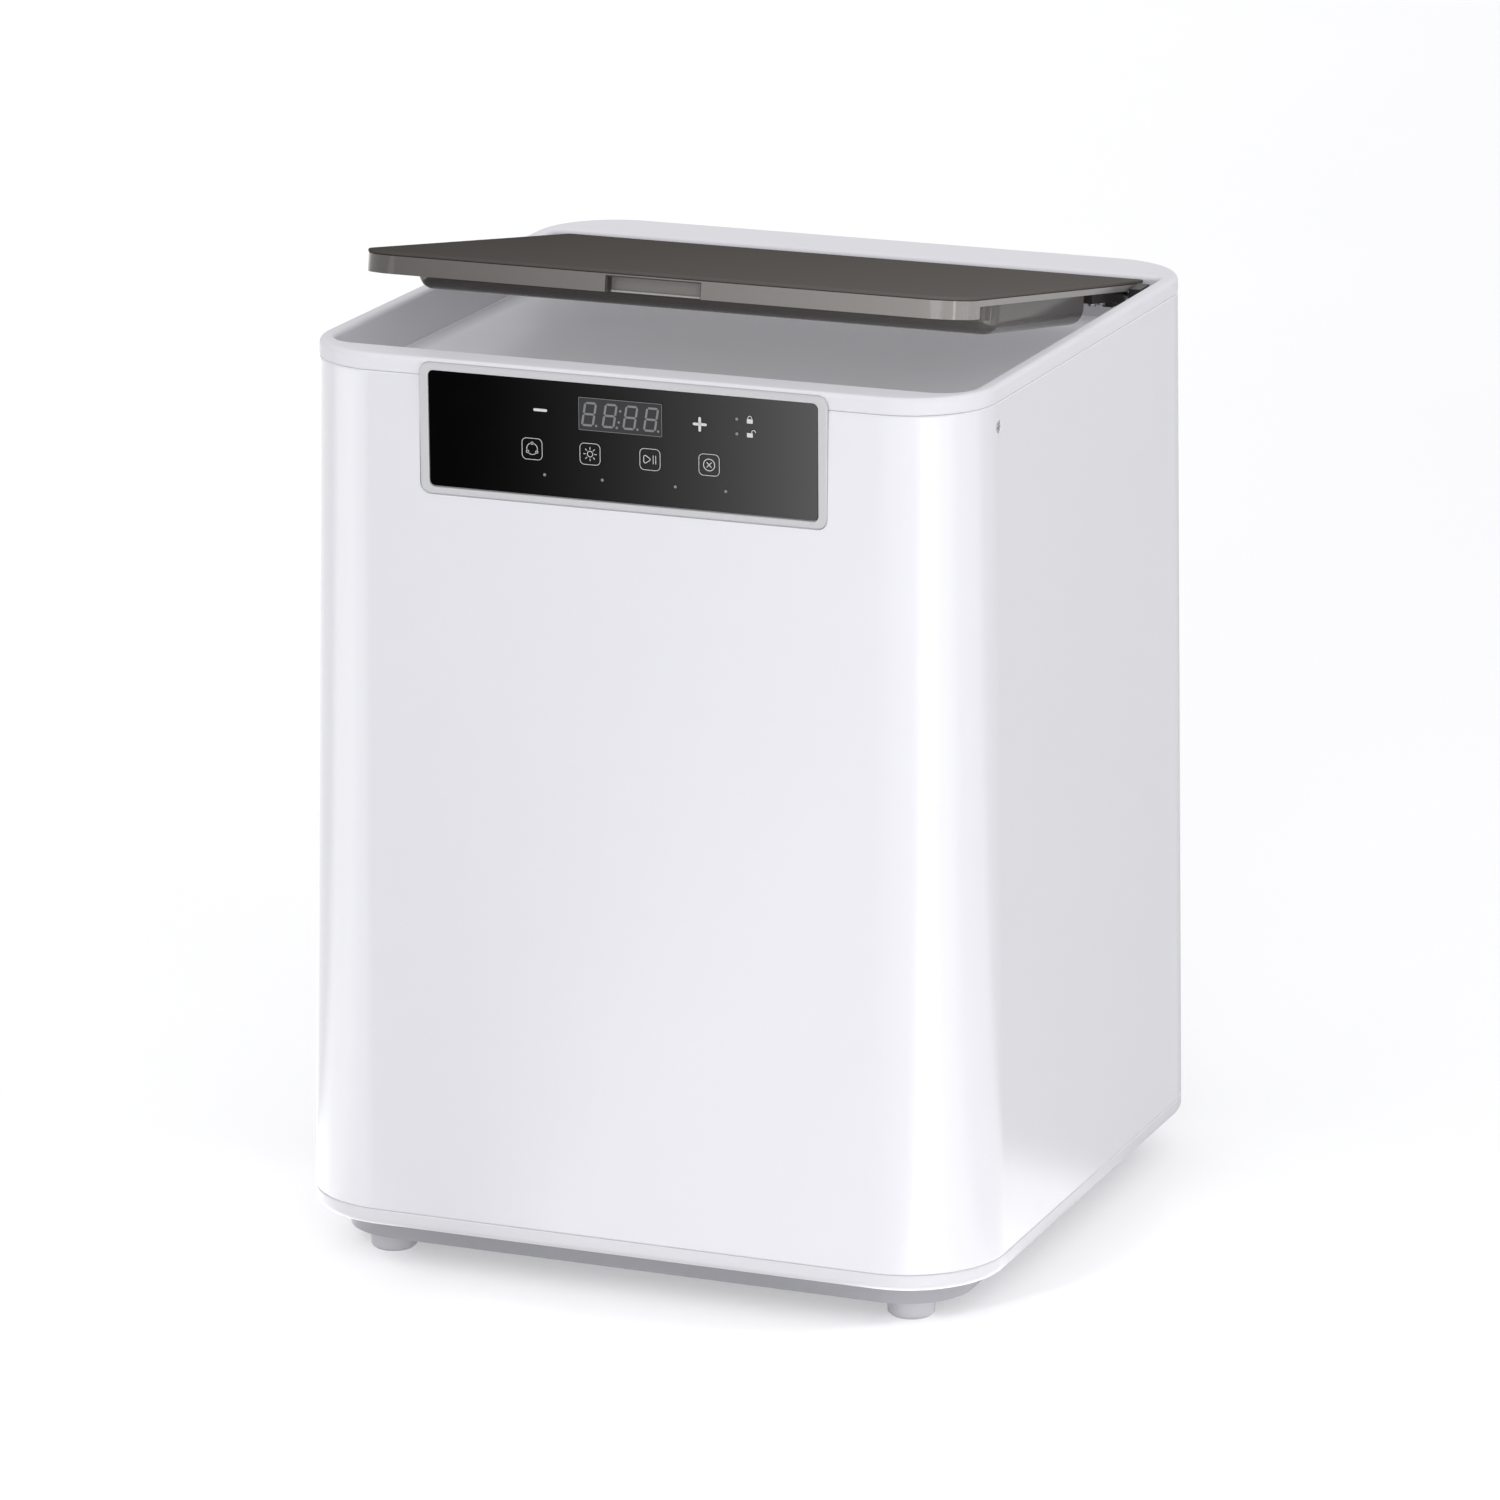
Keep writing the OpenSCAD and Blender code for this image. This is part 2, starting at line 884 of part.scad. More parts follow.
module impeller_post() {
    color("silver")
    translate([0, tank_cy, tank_floor + tank_t + 0.05]) {
        cylinder(r = 9, h = 1);
        cylinder(r = post_r, h = impeller_z - tank_floor - tank_t + impeller_h + 3.5);
    }
}

module impeller() {
    color("white")
    translate([0, tank_cy, impeller_z])
        difference() {
            union() {
                cylinder(r = impeller_hub_r, h = 10);
                cylinder(r = 8, h = impeller_h);
                cylinder(r = impeller_d / 2, h = 2);
                for (k = [0 : blades - 1])
                    rotate([0, 0, k * 360 / blades])
                        translate([6, -1, 0])
                            cube([impeller_d / 2 - 8, 2, impeller_h - 4]);
            }
            translate([0, 0, -1])
                cylinder(r = post_r + running, h = impeller_h + 2);
            for (k = [0 : 3])
                rotate([0, 0, 45 + k * 90])
                    translate([14, 0, -1])
                        cylinder(r = 5.05, h = 6);
        }
}

module impeller_magnets() {
    color("silver")
    translate([0, tank_cy, impeller_z])
        for (k = [0 : 3])
            rotate([0, 0, 45 + k * 90])
                translate([14, 0, 0.5])
                    cylinder(r = 5, h = 4.4);
}

module impeller_cap() {
    color("white")
    translate([0, tank_cy, impeller_z + impeller_h + 0.4])
        difference() {
            cylinder(r = 6, h = 5);
            translate([0, 0, -1])
                cylinder(r = post_r + 0.02, h = 5);
        }
}

module impeller_guard() {
    color("silver")
    translate([0, tank_cy, 0])
        difference() {
            union() {
                translate([0, 0, guard_z])
                    cylinder(r = guard_r, h = 3);
                for (k = [0 : 3])
                    rotate([0, 0, 45 + 90 * k])
                        translate([guard_r - 8, 0, tank_floor + tank_t + 0.1])
                            cylinder(r = 5, h = guard_z - tank_floor - tank_t);
            }
            for (k = [0 : 11])
                rotate([0, 0, k * 30])
                    translate([28, -4, guard_z - 1])
                        cube([52, 8, 5]);
            translate([0, 0, guard_z - 1])
                cylinder(r = 18, h = 5);
        }
}

module wash_basket() {
    slot_w = 14;
    color("silver")
    translate([0, tank_cy, basket_z])
        difference() {
            translate([-basket_x, -basket_y, 0])
                cube([2 * basket_x, 2 * basket_y, basket_h]);
            translate([-basket_x + basket_t, -basket_y + basket_t, basket_t])
                cube([2 * (basket_x - basket_t), 2 * (basket_y - basket_t), basket_h]);
            for (k = [-4 : 4]) {
                translate([k * 26 - slot_w / 2, -basket_y - 1, 20])
                    cube([slot_w, 2 * basket_y + 2, basket_h - 50]);
                translate([k * 26 - slot_w / 2, -basket_y + 15, -1])
                    cube([slot_w, 2 * basket_y - 30, 6]);
            }
            for (k = [-2 : 2])
                translate([-basket_x - 1, k * 30 - slot_w / 2, 20])
                    cube([2 * basket_x + 2, slot_w, basket_h - 50]);
            // Hand holes
            translate([-basket_x - 1, -40, basket_h - 22])
                cube([2 * basket_x + 2, 80, 12]);
        }
}

module uv_board(sx) {
    color("white")
    translate([sx * led_x, 0, 0]) {
        translate([-led_w / 2, liner_rear + liner_t + 2.5, led_z])
            cube([led_w, 1.6, led_h]);
        for (k = [0 : 9])
            translate([-2.5, liner_rear + liner_t + 1.2, led_z + 12 + k * (led_h - 29) / 9])
                cube([5, 1.3 + eps, 5]);
    }
}

module uv_cover(sx) {
    color([0.8, 0.8, 0.95, 0.5])
    translate([sx * led_x - led_w / 2, liner_rear + 0.3, led_z])
        cube([led_w, 2, led_h]);
}

// ---- Drive ---------------------------------------------------------------------------------------------

module motor_bracket() {
    color("silver")
    translate([0, tank_cy, 0])
        difference() {
            union() {
                translate([-55, -40, bracket_z])
                    cube([110, 80, 2]);
                for (sx = [-1, 1], sy = [-1, 1])
                    translate([sx * 49, sy * 34, bracket_z + 1])
                        cylinder(r = 5, h = chamber_floor - bracket_z - 1.1);
            }
            translate([0, 0, bracket_z - 1])
                cylinder(r = 12.2, h = 4);
            for (k = [0 : 3])
                rotate([0, 0, 45 + 90 * k])
                    translate([motor_screw_r, 0, bracket_z - 1])
                        cylinder(r = 1.7, h = 4);
        }
}

module drive_motor() {
    color("dimgray")
    translate([0, tank_cy, motor_z])
        difference() {
            union() {
                cylinder(r = motor_r, h = motor_h - 0.1);
                translate([0, 0, motor_h - 0.2])
                    cylinder(r = 12, h = 3);
                translate([motor_r - 6, -8, 6])
                    cube([12, 16, 9]);
            }
            translate([0, 0, 8])
                cylinder(r = shaft_r + running, h = motor_h);
            for (k = [0 : 3])
                rotate([0, 0, 45 + 90 * k])
                    translate([motor_screw_r, 0, motor_h - 8])
                        cylinder(r = 1.5, h = 10);
        }
}

module motor_screws() {
    color("silver")
    translate([0, tank_cy, bracket_z])
        for (k = [0 : 3])
            rotate([0, 0, 45 + 90 * k])
                translate([motor_screw_r, 0, 0]) {
                    translate([0, 0, 2.1])
                        cylinder(r = 2.8, h = 1.8);
                    translate([0, 0, -6])
                        cylinder(r = 1.45, h = 8.2);
                }
}

module motor_shaft() {
    color("lightgray")
    translate([0, tank_cy, motor_z + 9])
        cylinder(r = shaft_r, h = rotor_z + 7 - motor_z - 9);
}

module magnet_rotor() {
    color("darkgray")
    translate([0, tank_cy, rotor_z])
        difference() {
            union() {
                cylinder(r = rotor_r, h = 7);
                translate([0, 0, -2.5])
                    cylinder(r = 9, h = 4);
            }
            translate([0, 0, -4])
                cylinder(r = shaft_r + 0.02, h = 12);
            for (k = [0 : 3])
                rotate([0, 0, 45 + 90 * k])
                    translate([magnet_ring, 0, 2])
                        cylinder(r = magnet_r + 0.05, h = 6);
        }
}

module rotor_magnets() {
    color("silver")
    translate([0, tank_cy, rotor_z])
        for (k = [0 : 3])
            rotate([0, 0, 45 + 90 * k])
                translate([magnet_ring, 0, 2.1])
                    cylinder(r = magnet_r, h = 5);
}

// ---- Electronics ---------------------------------------------------------------------------------------

module control_board() {
    color("darkgreen")
    translate([0, board_y, board_z]) {
        difference() {
            translate([-60, 0, -45])
                cube([120, 1.6, 90]);
            for (sx = [-1, 1], sz = [-1, 1])
                translate([sx * board_hole_x, -1, sz * board_hole_z])
                    rotate([-90, 0, 0])
                        cylinder(r = 1.7, h = 4);
        }
        for (k = [0 : 2])
            translate([-36 + k * 20, 1.5, 20])
                rotate([-90, 0, 0])
                    cylinder(r = 6, h = 14);
        translate([-20, 1.5, -18])
            cube([16, 2, 16]);
        for (k = [0 : 3])
            translate([-44 + k * 22, 1.5, -42])
                cube([14, 8, 7]);
    }
}

module board_standoffs() {
    color("gold")
    translate([0, board_y, board_z])
        for (sx = [-1, 1], sz = [-1, 1])
            translate([sx * board_hole_x, 0, sz * board_hole_z])
                rotate([90, 0, 0])
                    translate([0, 0, 0.1])
                        cylinder(r = 3, h = board_y - liner_rear - liner_t - 0.3);
}

module power_supply() {
    color("silver")
    difference() {
        translate([-150, 60, z_band + 4])
            cube([110, 70, 34]);
        for (k = [0 : 8])
            translate([-142 + k * 11.5, 70, z_band + 35])
                cube([4, 50, 4]);
    }
}

module socket_plate() {
    color("dimgray")
    difference() {
        union() {
            translate([plate_x - plate_w / 2, plate_y, plate_z - plate_h / 2])
                cube([plate_w, 1.4, plate_h]);
            translate([plate_x - plate_w / 2 + 4.3, plate_y - 6, plate_z - plate_h / 2 + 4.3])
                cube([plate_w - 8.6, 6.1, plate_h - 8.6]);
        }
        translate([inlet_x - 14, plate_y - 8, plate_z - 10.2])
            cube([28, 12, 20.4]);
        translate([switch_x - 9.7, plate_y - 8, plate_z - 13.2])
            cube([19.4, 12, 26.4]);
        for (x = plate_screws)
            translate([x, plate_y - 8, plate_z])
                rotate([-90, 0, 0])
                    cylinder(r = 1.6, h = 12);
    }
}

module mains_inlet() {
    color([0.12, 0.12, 0.12])
    difference() {
        translate([inlet_x - 13.8, plate_y - 22, plate_z - 10])
            cube([27.6, 23.2, 20]);
        translate([inlet_x - 12, plate_y - 18, plate_z - 8])
            difference() {
                cube([24, 26, 16]);
                for (sx = [0, 1])
                    translate([sx * 24, -1, 16])
                        rotate([0, 45, 0])
                            cube([6, 30, 6], center = true);
            }
    }
    for (p = [[-7, -2], [7, -2], [0, 2]])
        translate([inlet_x + p[0] - 1, plate_y - 19, plate_z + p[1] - 2])
            cube([2, 15, 4]);
}

module switch_body() {
    color([0.1, 0.1, 0.1])
    difference() {
        translate([switch_x - 9.5, plate_y - 18, plate_z - 13])
            cube([19, 19.3, 26]);
        translate([switch_x - 7.3, plate_y - 9, plate_z - 11])
            cube([14.6, 12, 22]);
        translate([switch_x - 9, plate_y - 4, plate_z])
            rotate([0, 90, 0])
                cylinder(r = 1.3, h = 18);
    }
}

module switch_rocker() {
    face = 10.4;
    color([0.15, 0.15, 0.15])
    translate([0, plate_y - 4, plate_z])
        rotate([switch_tilt, 0, 0]) {
            translate([switch_x - 7, 0, 0])
                rotate([0, 90, 0])
                    cylinder(r = 3, h = 14);
            translate([switch_x - 8.8, 0, 0])
                rotate([0, 90, 0])
                    cylinder(r = 1.22, h = 17.6);
            translate([switch_x - 7, 0, 0])
                rotate([90, 0, 90])
                    linear_extrude(14)
                        polygon([
                            [0, -face + 1],
                            [4.2, -face + 0.4],
                            [3.2, 0],
                            [4.2, face - 0.4],
                            [0, face - 1]
                        ]);
        }
}

module socket_screws() {
    color("silver")
    for (x = plate_screws)
        translate([x, plate_y + 1.4, plate_z])
            rotate([-90, 0, 0]) {
                translate([0, 0, 0.02])
                    cylinder(r = 2.6, h = 1);
                translate([0, 0, -9])
                    cylinder(r = 1.5, h = 9.1);
            }
}

module vent_grille() {
    color("dimgray")
    translate([fan_x, fan_y + fan_t + 0.2, fan_z])
        rotate([-90, 0, 0])
            difference() {
                union() {
                    cylinder(r = fan_size / 2 + 1, h = 1.5);
                    cylinder(r = fan_size / 2 - 2.6, h = 3.6);
                }
                for (k = [1 : 4])
                    difference() {
                        translate([0, 0, -1])
                            cylinder(r = 6 * k + 3, h = 6);
                        translate([0, 0, -2])
                            cylinder(r = 6 * k - 1.2, h = 8);
                        for (q = [0 : 2])
                            rotate([0, 0, q * 60])
                                cube([80, 2.4, 20], center = true);
                    }
            }
}

module fan_frame() {
    color([0.15, 0.15, 0.16])
    translate([fan_x, fan_y, fan_z])
        rotate([-90, 0, 0])
            difference() {
                union() {
                    difference() {
                        translate([-fan_size / 2, -fan_size / 2, 0])
                            cube([fan_size, fan_size, fan_t]);
                        translate([0, 0, -1])
                            cylinder(r = fan_size / 2 - 2, h = fan_t + 2);
                    }
                    cylinder(r = 12, h = 2.2);
                    for (k = [0 : 2])
                        rotate([0, 0, k * 120])
                            translate([8, -2, 0])
                                cube([fan_size / 2 - 9, 4, 2.2]);
                    cylinder(r = 1.5, h = fan_t - 4);
                }
                for (sx = [-1, 1], sy = [-1, 1])
                    translate([sx * fan_hole, sy * fan_hole, -1])
                        cylinder(r = 2.1, h = fan_t + 2);
            }
}

module fan_rotor() {
    fan_blades = 7;
    color([0.18, 0.18, 0.19])
    translate([fan_x, fan_y, fan_z])
        rotate([-90, 0, 0])
            difference() {
                union() {
                    translate([0, 0, 3])
                        cylinder(r = 13, h = fan_t - 5);
                    for (k = [0 : fan_blades - 1])
                        rotate([0, 0, k * 360 / fan_blades])
                            translate([12, 0, fan_t / 2 + 0.5])
                                rotate([38, 0, 0])
                                    translate([0, -6.4, -0.7])
                                        cube([fan_size / 2 - 2 - 12 - 1.2, 12.8, 1.4]);
                }
                translate([0, 0, 2])
                    cylinder(r = 1.5 + running, h = fan_t - 4);
            }
}

module fan_screws() {
    color("silver")
    translate([fan_x, fan_y, fan_z])
        rotate([-90, 0, 0])
            for (sx = [-1, 1], sy = [-1, 1])
                translate([sx * fan_hole, sy * fan_hole, 0]) {
                    translate([0, 0, -1.7])
                        cylinder(r = 3.4, h = 1.6);
                    translate([0, 0, -0.2])
                        cylinder(r = 1.9, h = fan_t);
                }
}

outer_shell();
rim_frame();
panel_bezel();
panel_glass();
display_module();
touch_key_board();
base_tray();
plinth_cover();
foot(-1, -1);  // foot_front_left
foot(1, -1);  // foot_front_right
foot(-1, 1);  // foot_rear_left
foot(1, 1);  // foot_rear_right
foot_screws();
base_screws();
side_screws();
lid_plate();
lid_frame();
lid_box();
lid_arm(-1);  // lid_arm_left
lid_arm(1);  // lid_arm_right
lid_arm_screws();
lid_magnet();
hinge_bracket(-1);  // hinge_bracket_left
hinge_bracket(1);  // hinge_bracket_right
hinge_pin(-1);  // hinge_pin_left
hinge_pin(1);  // hinge_pin_right
lid_bumpers();
lid_sensor();
tank_cover();
cover_seal();
chamber_liner();
wash_tank();
impeller_post();
impeller();
impeller_magnets();
impeller_cap();
impeller_guard();
wash_basket();
uv_board(-1);  // uv_board_left
uv_board(1);  // uv_board_right
uv_cover(-1);  // uv_cover_left
uv_cover(1);  // uv_cover_right
motor_bracket();
drive_motor();
motor_screws();
motor_shaft();
magnet_rotor();
rotor_magnets();
control_board();
board_standoffs();
power_supply();
socket_plate();
mains_inlet();
switch_body();
switch_rocker();
socket_screws();
vent_grille();
fan_frame();
fan_rotor();
fan_screws();
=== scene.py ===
import json
import math

import bmesh
import bpy
from mathutils import Matrix, Vector


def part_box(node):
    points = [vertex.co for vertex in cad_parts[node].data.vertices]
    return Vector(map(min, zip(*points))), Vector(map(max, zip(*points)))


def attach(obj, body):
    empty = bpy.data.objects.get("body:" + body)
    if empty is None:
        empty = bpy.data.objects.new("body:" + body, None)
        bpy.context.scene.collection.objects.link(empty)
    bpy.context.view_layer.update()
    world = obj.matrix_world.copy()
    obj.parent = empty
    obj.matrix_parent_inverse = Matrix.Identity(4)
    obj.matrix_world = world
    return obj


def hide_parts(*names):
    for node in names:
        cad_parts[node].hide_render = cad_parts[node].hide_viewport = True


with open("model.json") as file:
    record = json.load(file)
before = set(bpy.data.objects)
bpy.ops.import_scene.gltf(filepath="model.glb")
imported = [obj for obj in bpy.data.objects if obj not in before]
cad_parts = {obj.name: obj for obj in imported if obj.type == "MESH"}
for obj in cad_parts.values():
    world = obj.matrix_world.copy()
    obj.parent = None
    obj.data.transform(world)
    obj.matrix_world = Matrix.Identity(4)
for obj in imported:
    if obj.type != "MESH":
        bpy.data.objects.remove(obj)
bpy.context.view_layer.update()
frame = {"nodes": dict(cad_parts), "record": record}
NODES = frame["nodes"]
RECORD = frame["record"]
BODY_OF = {node: body for body, nodes in RECORD["behaviour"]["bodies"].items() for node in nodes}
SLOT_OF = {part["node"]: part["material_slot"] for part in RECORD["subparts"]}
JOINTS = {joint["name"]: joint for joint in RECORD["behaviour"]["joints"]}
MM = 0.001
SHARP_ANGLE = math.radians(35)


def cad(node):
    """Lowest and highest corner of a CAD node, in millimetres."""
    low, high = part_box(node)
    return low / MM, high / MM


# ---- Driving dimensions, in millimetres, read from the frame where it has them ----------------------------

SHELL_LOW, SHELL_HIGH = cad("outer_shell")
RIM_LOW, RIM_HIGH = cad("rim_frame")
BAND_LOW, BAND_HIGH = cad("base_tray")
COVER_LOW = cad("tank_cover")[0]
BEZEL_LOW, BEZEL_HIGH = cad("panel_bezel")
GLASS_LOW, GLASS_HIGH = cad("panel_glass")

Z_SEAM_LOW = SHELL_LOW.z
Z_SEAM_TOP = SHELL_HIGH.z
Z_TOP = RIM_HIGH.z
TAPER = (SHELL_HIGH.x - RIM_HIGH.x) / (Z_SEAM_TOP - Z_SEAM_LOW)
CORNER_R = 50
SEAM = 0.3
WALL = 3.2

HINGE = Vector(JOINTS["lid_hinge"]["pos_m"]) / MM
LID_TILT = -math.radians(JOINTS["lid_hinge"]["range_deg"][0])
LID_AXIS_IN = 20
LID_AXIS_DOWN = 9.5
LID_W = 362
LID_L = 311.5
LID_FRONT_R = 25
LID_REAR_R = 3

OPEN_X = 190.5
OPEN_FRONT = -176
OPEN_REAR = 155.8
OPEN_FRONT_R = 20
OPEN_REAR_R = 4
COLLAR_TAPER = 2


# ---- Mesh helpers, all in millimetres ---------------------------------------------------------------------

def filleted(corners, steps=5):
    """A polyline's points, with an arc of radius r in place of each corner (x, z, r)."""
    points = []
    count = len(corners)
    for i, (x, z, r) in enumerate(corners):
        here = Vector((x, z))
        if r == 0:
            points.append((x, z))
            continue
        back = (Vector(corners[i - 1][:2]) - here).normalized()
        ahead = (Vector(corners[(i + 1) % count][:2]) - here).normalized()
        half = math.acos(max(-1, min(1, back.dot(ahead)))) / 2
        centre = here + (back + ahead).normalized() * (r / math.sin(half))
        start = here + back * (r / math.tan(half)) - centre
        end = here + ahead * (r / math.tan(half)) - centre
        first = math.atan2(start.y, start.x)
        turn = (math.atan2(end.y, end.x) - first + math.pi) % (2 * math.pi) - math.pi
        for k in range(steps + 1):
            angle = first + turn * k / steps
            points.append((centre.x + r * math.cos(angle), centre.y + r * math.sin(angle)))
    return points


def rounded_rect(left, right, front, rear, front_r, rear_r, steps):
    """Outline as (corner axis x, y, direction x, y, radius), so that it can be offset exactly."""
    outline = []
    corners = [(right - rear_r, rear - rear_r, rear_r), (left + rear_r, rear - rear_r, rear_r),
               (left + front_r, front + front_r, front_r), (right - front_r, front + front_r, front_r)]
    for quarter, (x, y, r) in enumerate(corners):
        for k in range(steps + 1):
            angle = math.radians(90 * quarter + 90 * k / steps)
            outline.append((x, y, math.cos(angle), math.sin(angle), r))
    return outline


def mesh_object(name, points, faces, place=Matrix.Identity(4)):
    """Closed mesh from points in millimetres, with smooth shading up to the sharp angle."""
    mesh = bpy.data.meshes.new(name)
    mesh.from_pydata([(place @ Vector(p)) * MM for p in points], [], faces)
    build = bmesh.new()
    build.from_mesh(mesh)
    bmesh.ops.remove_doubles(build, verts=build.verts, dist=1e-6)
    bmesh.ops.dissolve_degenerate(build, edges=build.edges, dist=1e-7)
    bmesh.ops.recalc_face_normals(build, faces=build.faces)
    build.to_mesh(mesh)
    build.free()
    mesh.shade_smooth()
    mesh.set_sharp_from_angle(angle=SHARP_ANGLE)
    obj = bpy.data.objects.new(name, mesh)
    bpy.context.scene.collection.objects.link(obj)
    return obj


def sweep(name, rings, caps=False, place=Matrix.Identity(4)):
    """Rings of (outline, offset, height) joined in order: a closed loop, or a solid with flat caps."""
    points = []
    for outline, offset, z in rings:
        points += [(x + (r + offset) * nx, y + (r + offset) * ny, z) for x, y, nx, ny, r in outline]
    n = len(rings[0][0])
    m = len(rings)
    faces = []
    for j in range(m - 1 if caps else m):
        a, b = j * n, ((j + 1) % m) * n
        faces += [(a + i, a + (i + 1) % n, b + (i + 1) % n, b + i) for i in range(n)]
    if caps:
        faces += [tuple(range(n)), tuple(range((m - 1) * n, m * n))]
    return mesh_object(name, points, faces, place)


def rings_of(outline, profile):
    """Rings for sweep() that carry a profile of (offset, height) round one outline."""
    return [(outline, offset, z) for offset, z in profile]


def block(name, low, high, place=Matrix.Identity(4), bevel=0.0):
    """Box with bevelled edges, from its corners."""
    (x0, y0, z0), (x1, y1, z1) = low, high
    points = [(x, y, z) for x in (x0, x1) for y in (y0, y1) for z in (z0, z1)]
    faces = [(0, 1, 3, 2), (4, 6, 7, 5), (0, 4, 5, 1), (2, 3, 7, 6), (0, 2, 6, 4), (1, 5, 7, 3)]
    obj = mesh_object(name, points, faces, place)
    if bevel:
        edges = obj.modifiers.new("edges", "BEVEL")
        edges.width = bevel * MM
        edges.segments = 3
        apply_modifiers(obj)
    return obj


def join(name, parts):
    """One object in place of several."""
    build = bmesh.new()
    for part in parts:
        build.from_mesh(part.data)
        bpy.data.objects.remove(part)
    mesh = bpy.data.meshes.new(name)
    build.to_mesh(mesh)
    build.free()
    obj = bpy.data.objects.new(name, mesh)
    bpy.context.scene.collection.objects.link(obj)
    return obj


def apply_modifiers(obj):
    """Replaces an object's mesh with its evaluated mesh."""
    graph = bpy.context.evaluated_depsgraph_get()
    mesh = bpy.data.meshes.new_from_object(obj.evaluated_get(graph))
    obj.modifiers.clear()
    obj.data = mesh


def cut(obj, *tools):
    """Subtracts the tools from the object and removes them."""
    for tool in tools:
        step = obj.modifiers.new("cut", "BOOLEAN")
        step.operation = "DIFFERENCE"
        step.solver = "EXACT"
        step.object = tool
    apply_modifiers(obj)
    for tool in tools:
        bpy.data.objects.remove(tool)
    obj.data.set_sharp_from_angle(angle=SHARP_ANGLE)
    return obj


def soften(obj, width):
    """Welds split vertices, rounds the sharp edges and evens out the shading."""
    weld = obj.modifiers.new("weld", "WELD")
    weld.merge_threshold = 1e-6
    edges = obj.modifiers.new("edges", "BEVEL")
    edges.width = width * MM
    edges.segments = 2
    edges.limit_method = "ANGLE"
    edges.angle_limit = math.radians(32)
    level(obj)


def level(obj):
    """Keeps flat faces flat in the shading."""
    normals = obj.modifiers.new("normals", "WEIGHTED_NORMAL")
    normals.keep_sharp = True
    normals.weight = 60


# ---- Materials --------------------------------------------------------------------------------------------

def surface(name, colour, roughness, *, metallic=0.0, mottle=0.04, mottle_scale=9.0, grain=900.0,
            grain_depth=0.00002, rough_spread=0.06, stretch=(1, 1, 1), specular=0.5, transmission=0.0):
    """Procedural surface: slow colour variation, uneven roughness and a fine grain in relief."""
    material = bpy.data.materials.new(name)
    material.use_nodes = True
    tree = material.node_tree
    shader = tree.nodes["Principled BSDF"]
    shader.inputs["Metallic"].default_value = metallic
    shader.inputs["IOR"].default_value = 1.5
    shader.inputs["Specular IOR Level"].default_value = specular
    shader.inputs["Transmission Weight"].default_value = transmission
    place = tree.nodes.new("ShaderNodeTexCoord")
    mapping = tree.nodes.new("ShaderNodeMapping")
    mapping.inputs["Scale"].default_value = stretch
    tree.links.new(place.outputs["Object"], mapping.inputs["Vector"])

    def noise(scale, detail):
        node = tree.nodes.new("ShaderNodeTexNoise")
        node.inputs["Scale"].default_value = scale
        node.inputs["Detail"].default_value = detail
        tree.links.new(mapping.outputs["Vector"], node.inputs["Vector"])
        return node.outputs["Fac"]

    tint = tree.nodes.new("ShaderNodeValToRGB")
    dark = [max(0.0, c * (1 - mottle)) for c in colour]
    light = [min(1.0, c * (1 + mottle)) for c in colour]
    tint.color_ramp.elements[0].position = 0.3
    tint.color_ramp.elements[0].color = (*dark, 1)
    tint.color_ramp.elements[1].position = 0.7
    tint.color_ramp.elements[1].color = (*light, 1)
    tree.links.new(noise(mottle_scale, 3), tint.inputs["Fac"])
    tree.links.new(tint.outputs["Color"], shader.inputs["Base Color"])

    spread = tree.nodes.new("ShaderNodeMapRange")
    spread.inputs["To Min"].default_value = max(0.02, roughness - rough_spread)
    spread.inputs["To Max"].default_value = min(1.0, roughness + rough_spread)
    tree.links.new(noise(60.0, 4), spread.inputs["Value"])
    tree.links.new(spread.outputs["Result"], shader.inputs["Roughness"])

    relief = tree.nodes.new("ShaderNodeBump")
    relief.inputs["Strength"].default_value = 1.0
    relief.inputs["Distance"].default_value = grain_depth
    tree.links.new(noise(grain, 2), relief.inputs["Height"])
    tree.links.new(relief.outputs["Normal"], shader.inputs["Normal"])
    return material


def graded(material, colour, left, right, power=1.0):
    """Leads the base colour over to another one from left to right, in metres."""
    tree = material.node_tree
    shader = tree.nodes["Principled BSDF"]
    tint = shader.inputs["Base Color"].links[0].from_node
    place = tree.nodes.new("ShaderNodeTexCoord")
    split = tree.nodes.new("ShaderNodeSeparateXYZ")
    ramp = tree.nodes.new("ShaderNodeMapRange")
    ramp.inputs["From Min"].default_value = left
    ramp.inputs["From Max"].default_value = right
    curve = tree.nodes.new("ShaderNodeMath")
    curve.operation = "POWER"
    curve.inputs[1].default_value = power
    mix = tree.nodes.new("ShaderNodeMix")
    mix.data_type = "RGBA"
    mix.inputs["B"].default_value = (*colour, 1)
    tree.links.new(place.outputs["Object"], split.inputs["Vector"])
    tree.links.new(split.outputs["X"], ramp.inputs["Value"])
    tree.links.new(ramp.outputs["Result"], curve.inputs[0])
    tree.links.new(curve.outputs["Value"], mix.inputs["Factor"])
    tree.links.new(tint.outputs["Color"], mix.inputs["A"])
    tree.links.new(mix.outputs["Result"], shader.inputs["Base Color"])
    return material


def glass_panel(name):
    """Black gloss panel, painted lighter towards the right to stand in for a broad reflection."""
    material = surface(name, (0.0012, 0.0012, 0.0013), 0.10, mottle=0.2, mottle_scale=30, grain=300,
                       grain_depth=0.000002, rough_spread=0.02, specular=0.015)
    return graded(material, (0.086, 0.085, 0.085), GLASS_LOW.x * MM, GLASS_HIGH.x * MM, 2.3)


def smoked(name, left, right, roughness, specular):
    """Dark tinted moulding, painted lighter towards the right to stand in for a broad reflection."""
    material = surface(name, left, roughness, mottle=0.04, mottle_scale=6, grain=300, specular=specular,
                       grain_depth=0.000001, rough_spread=0.03)
    return graded(material, right, -LID_W / 2 * MM, LID_W / 2 * MM)


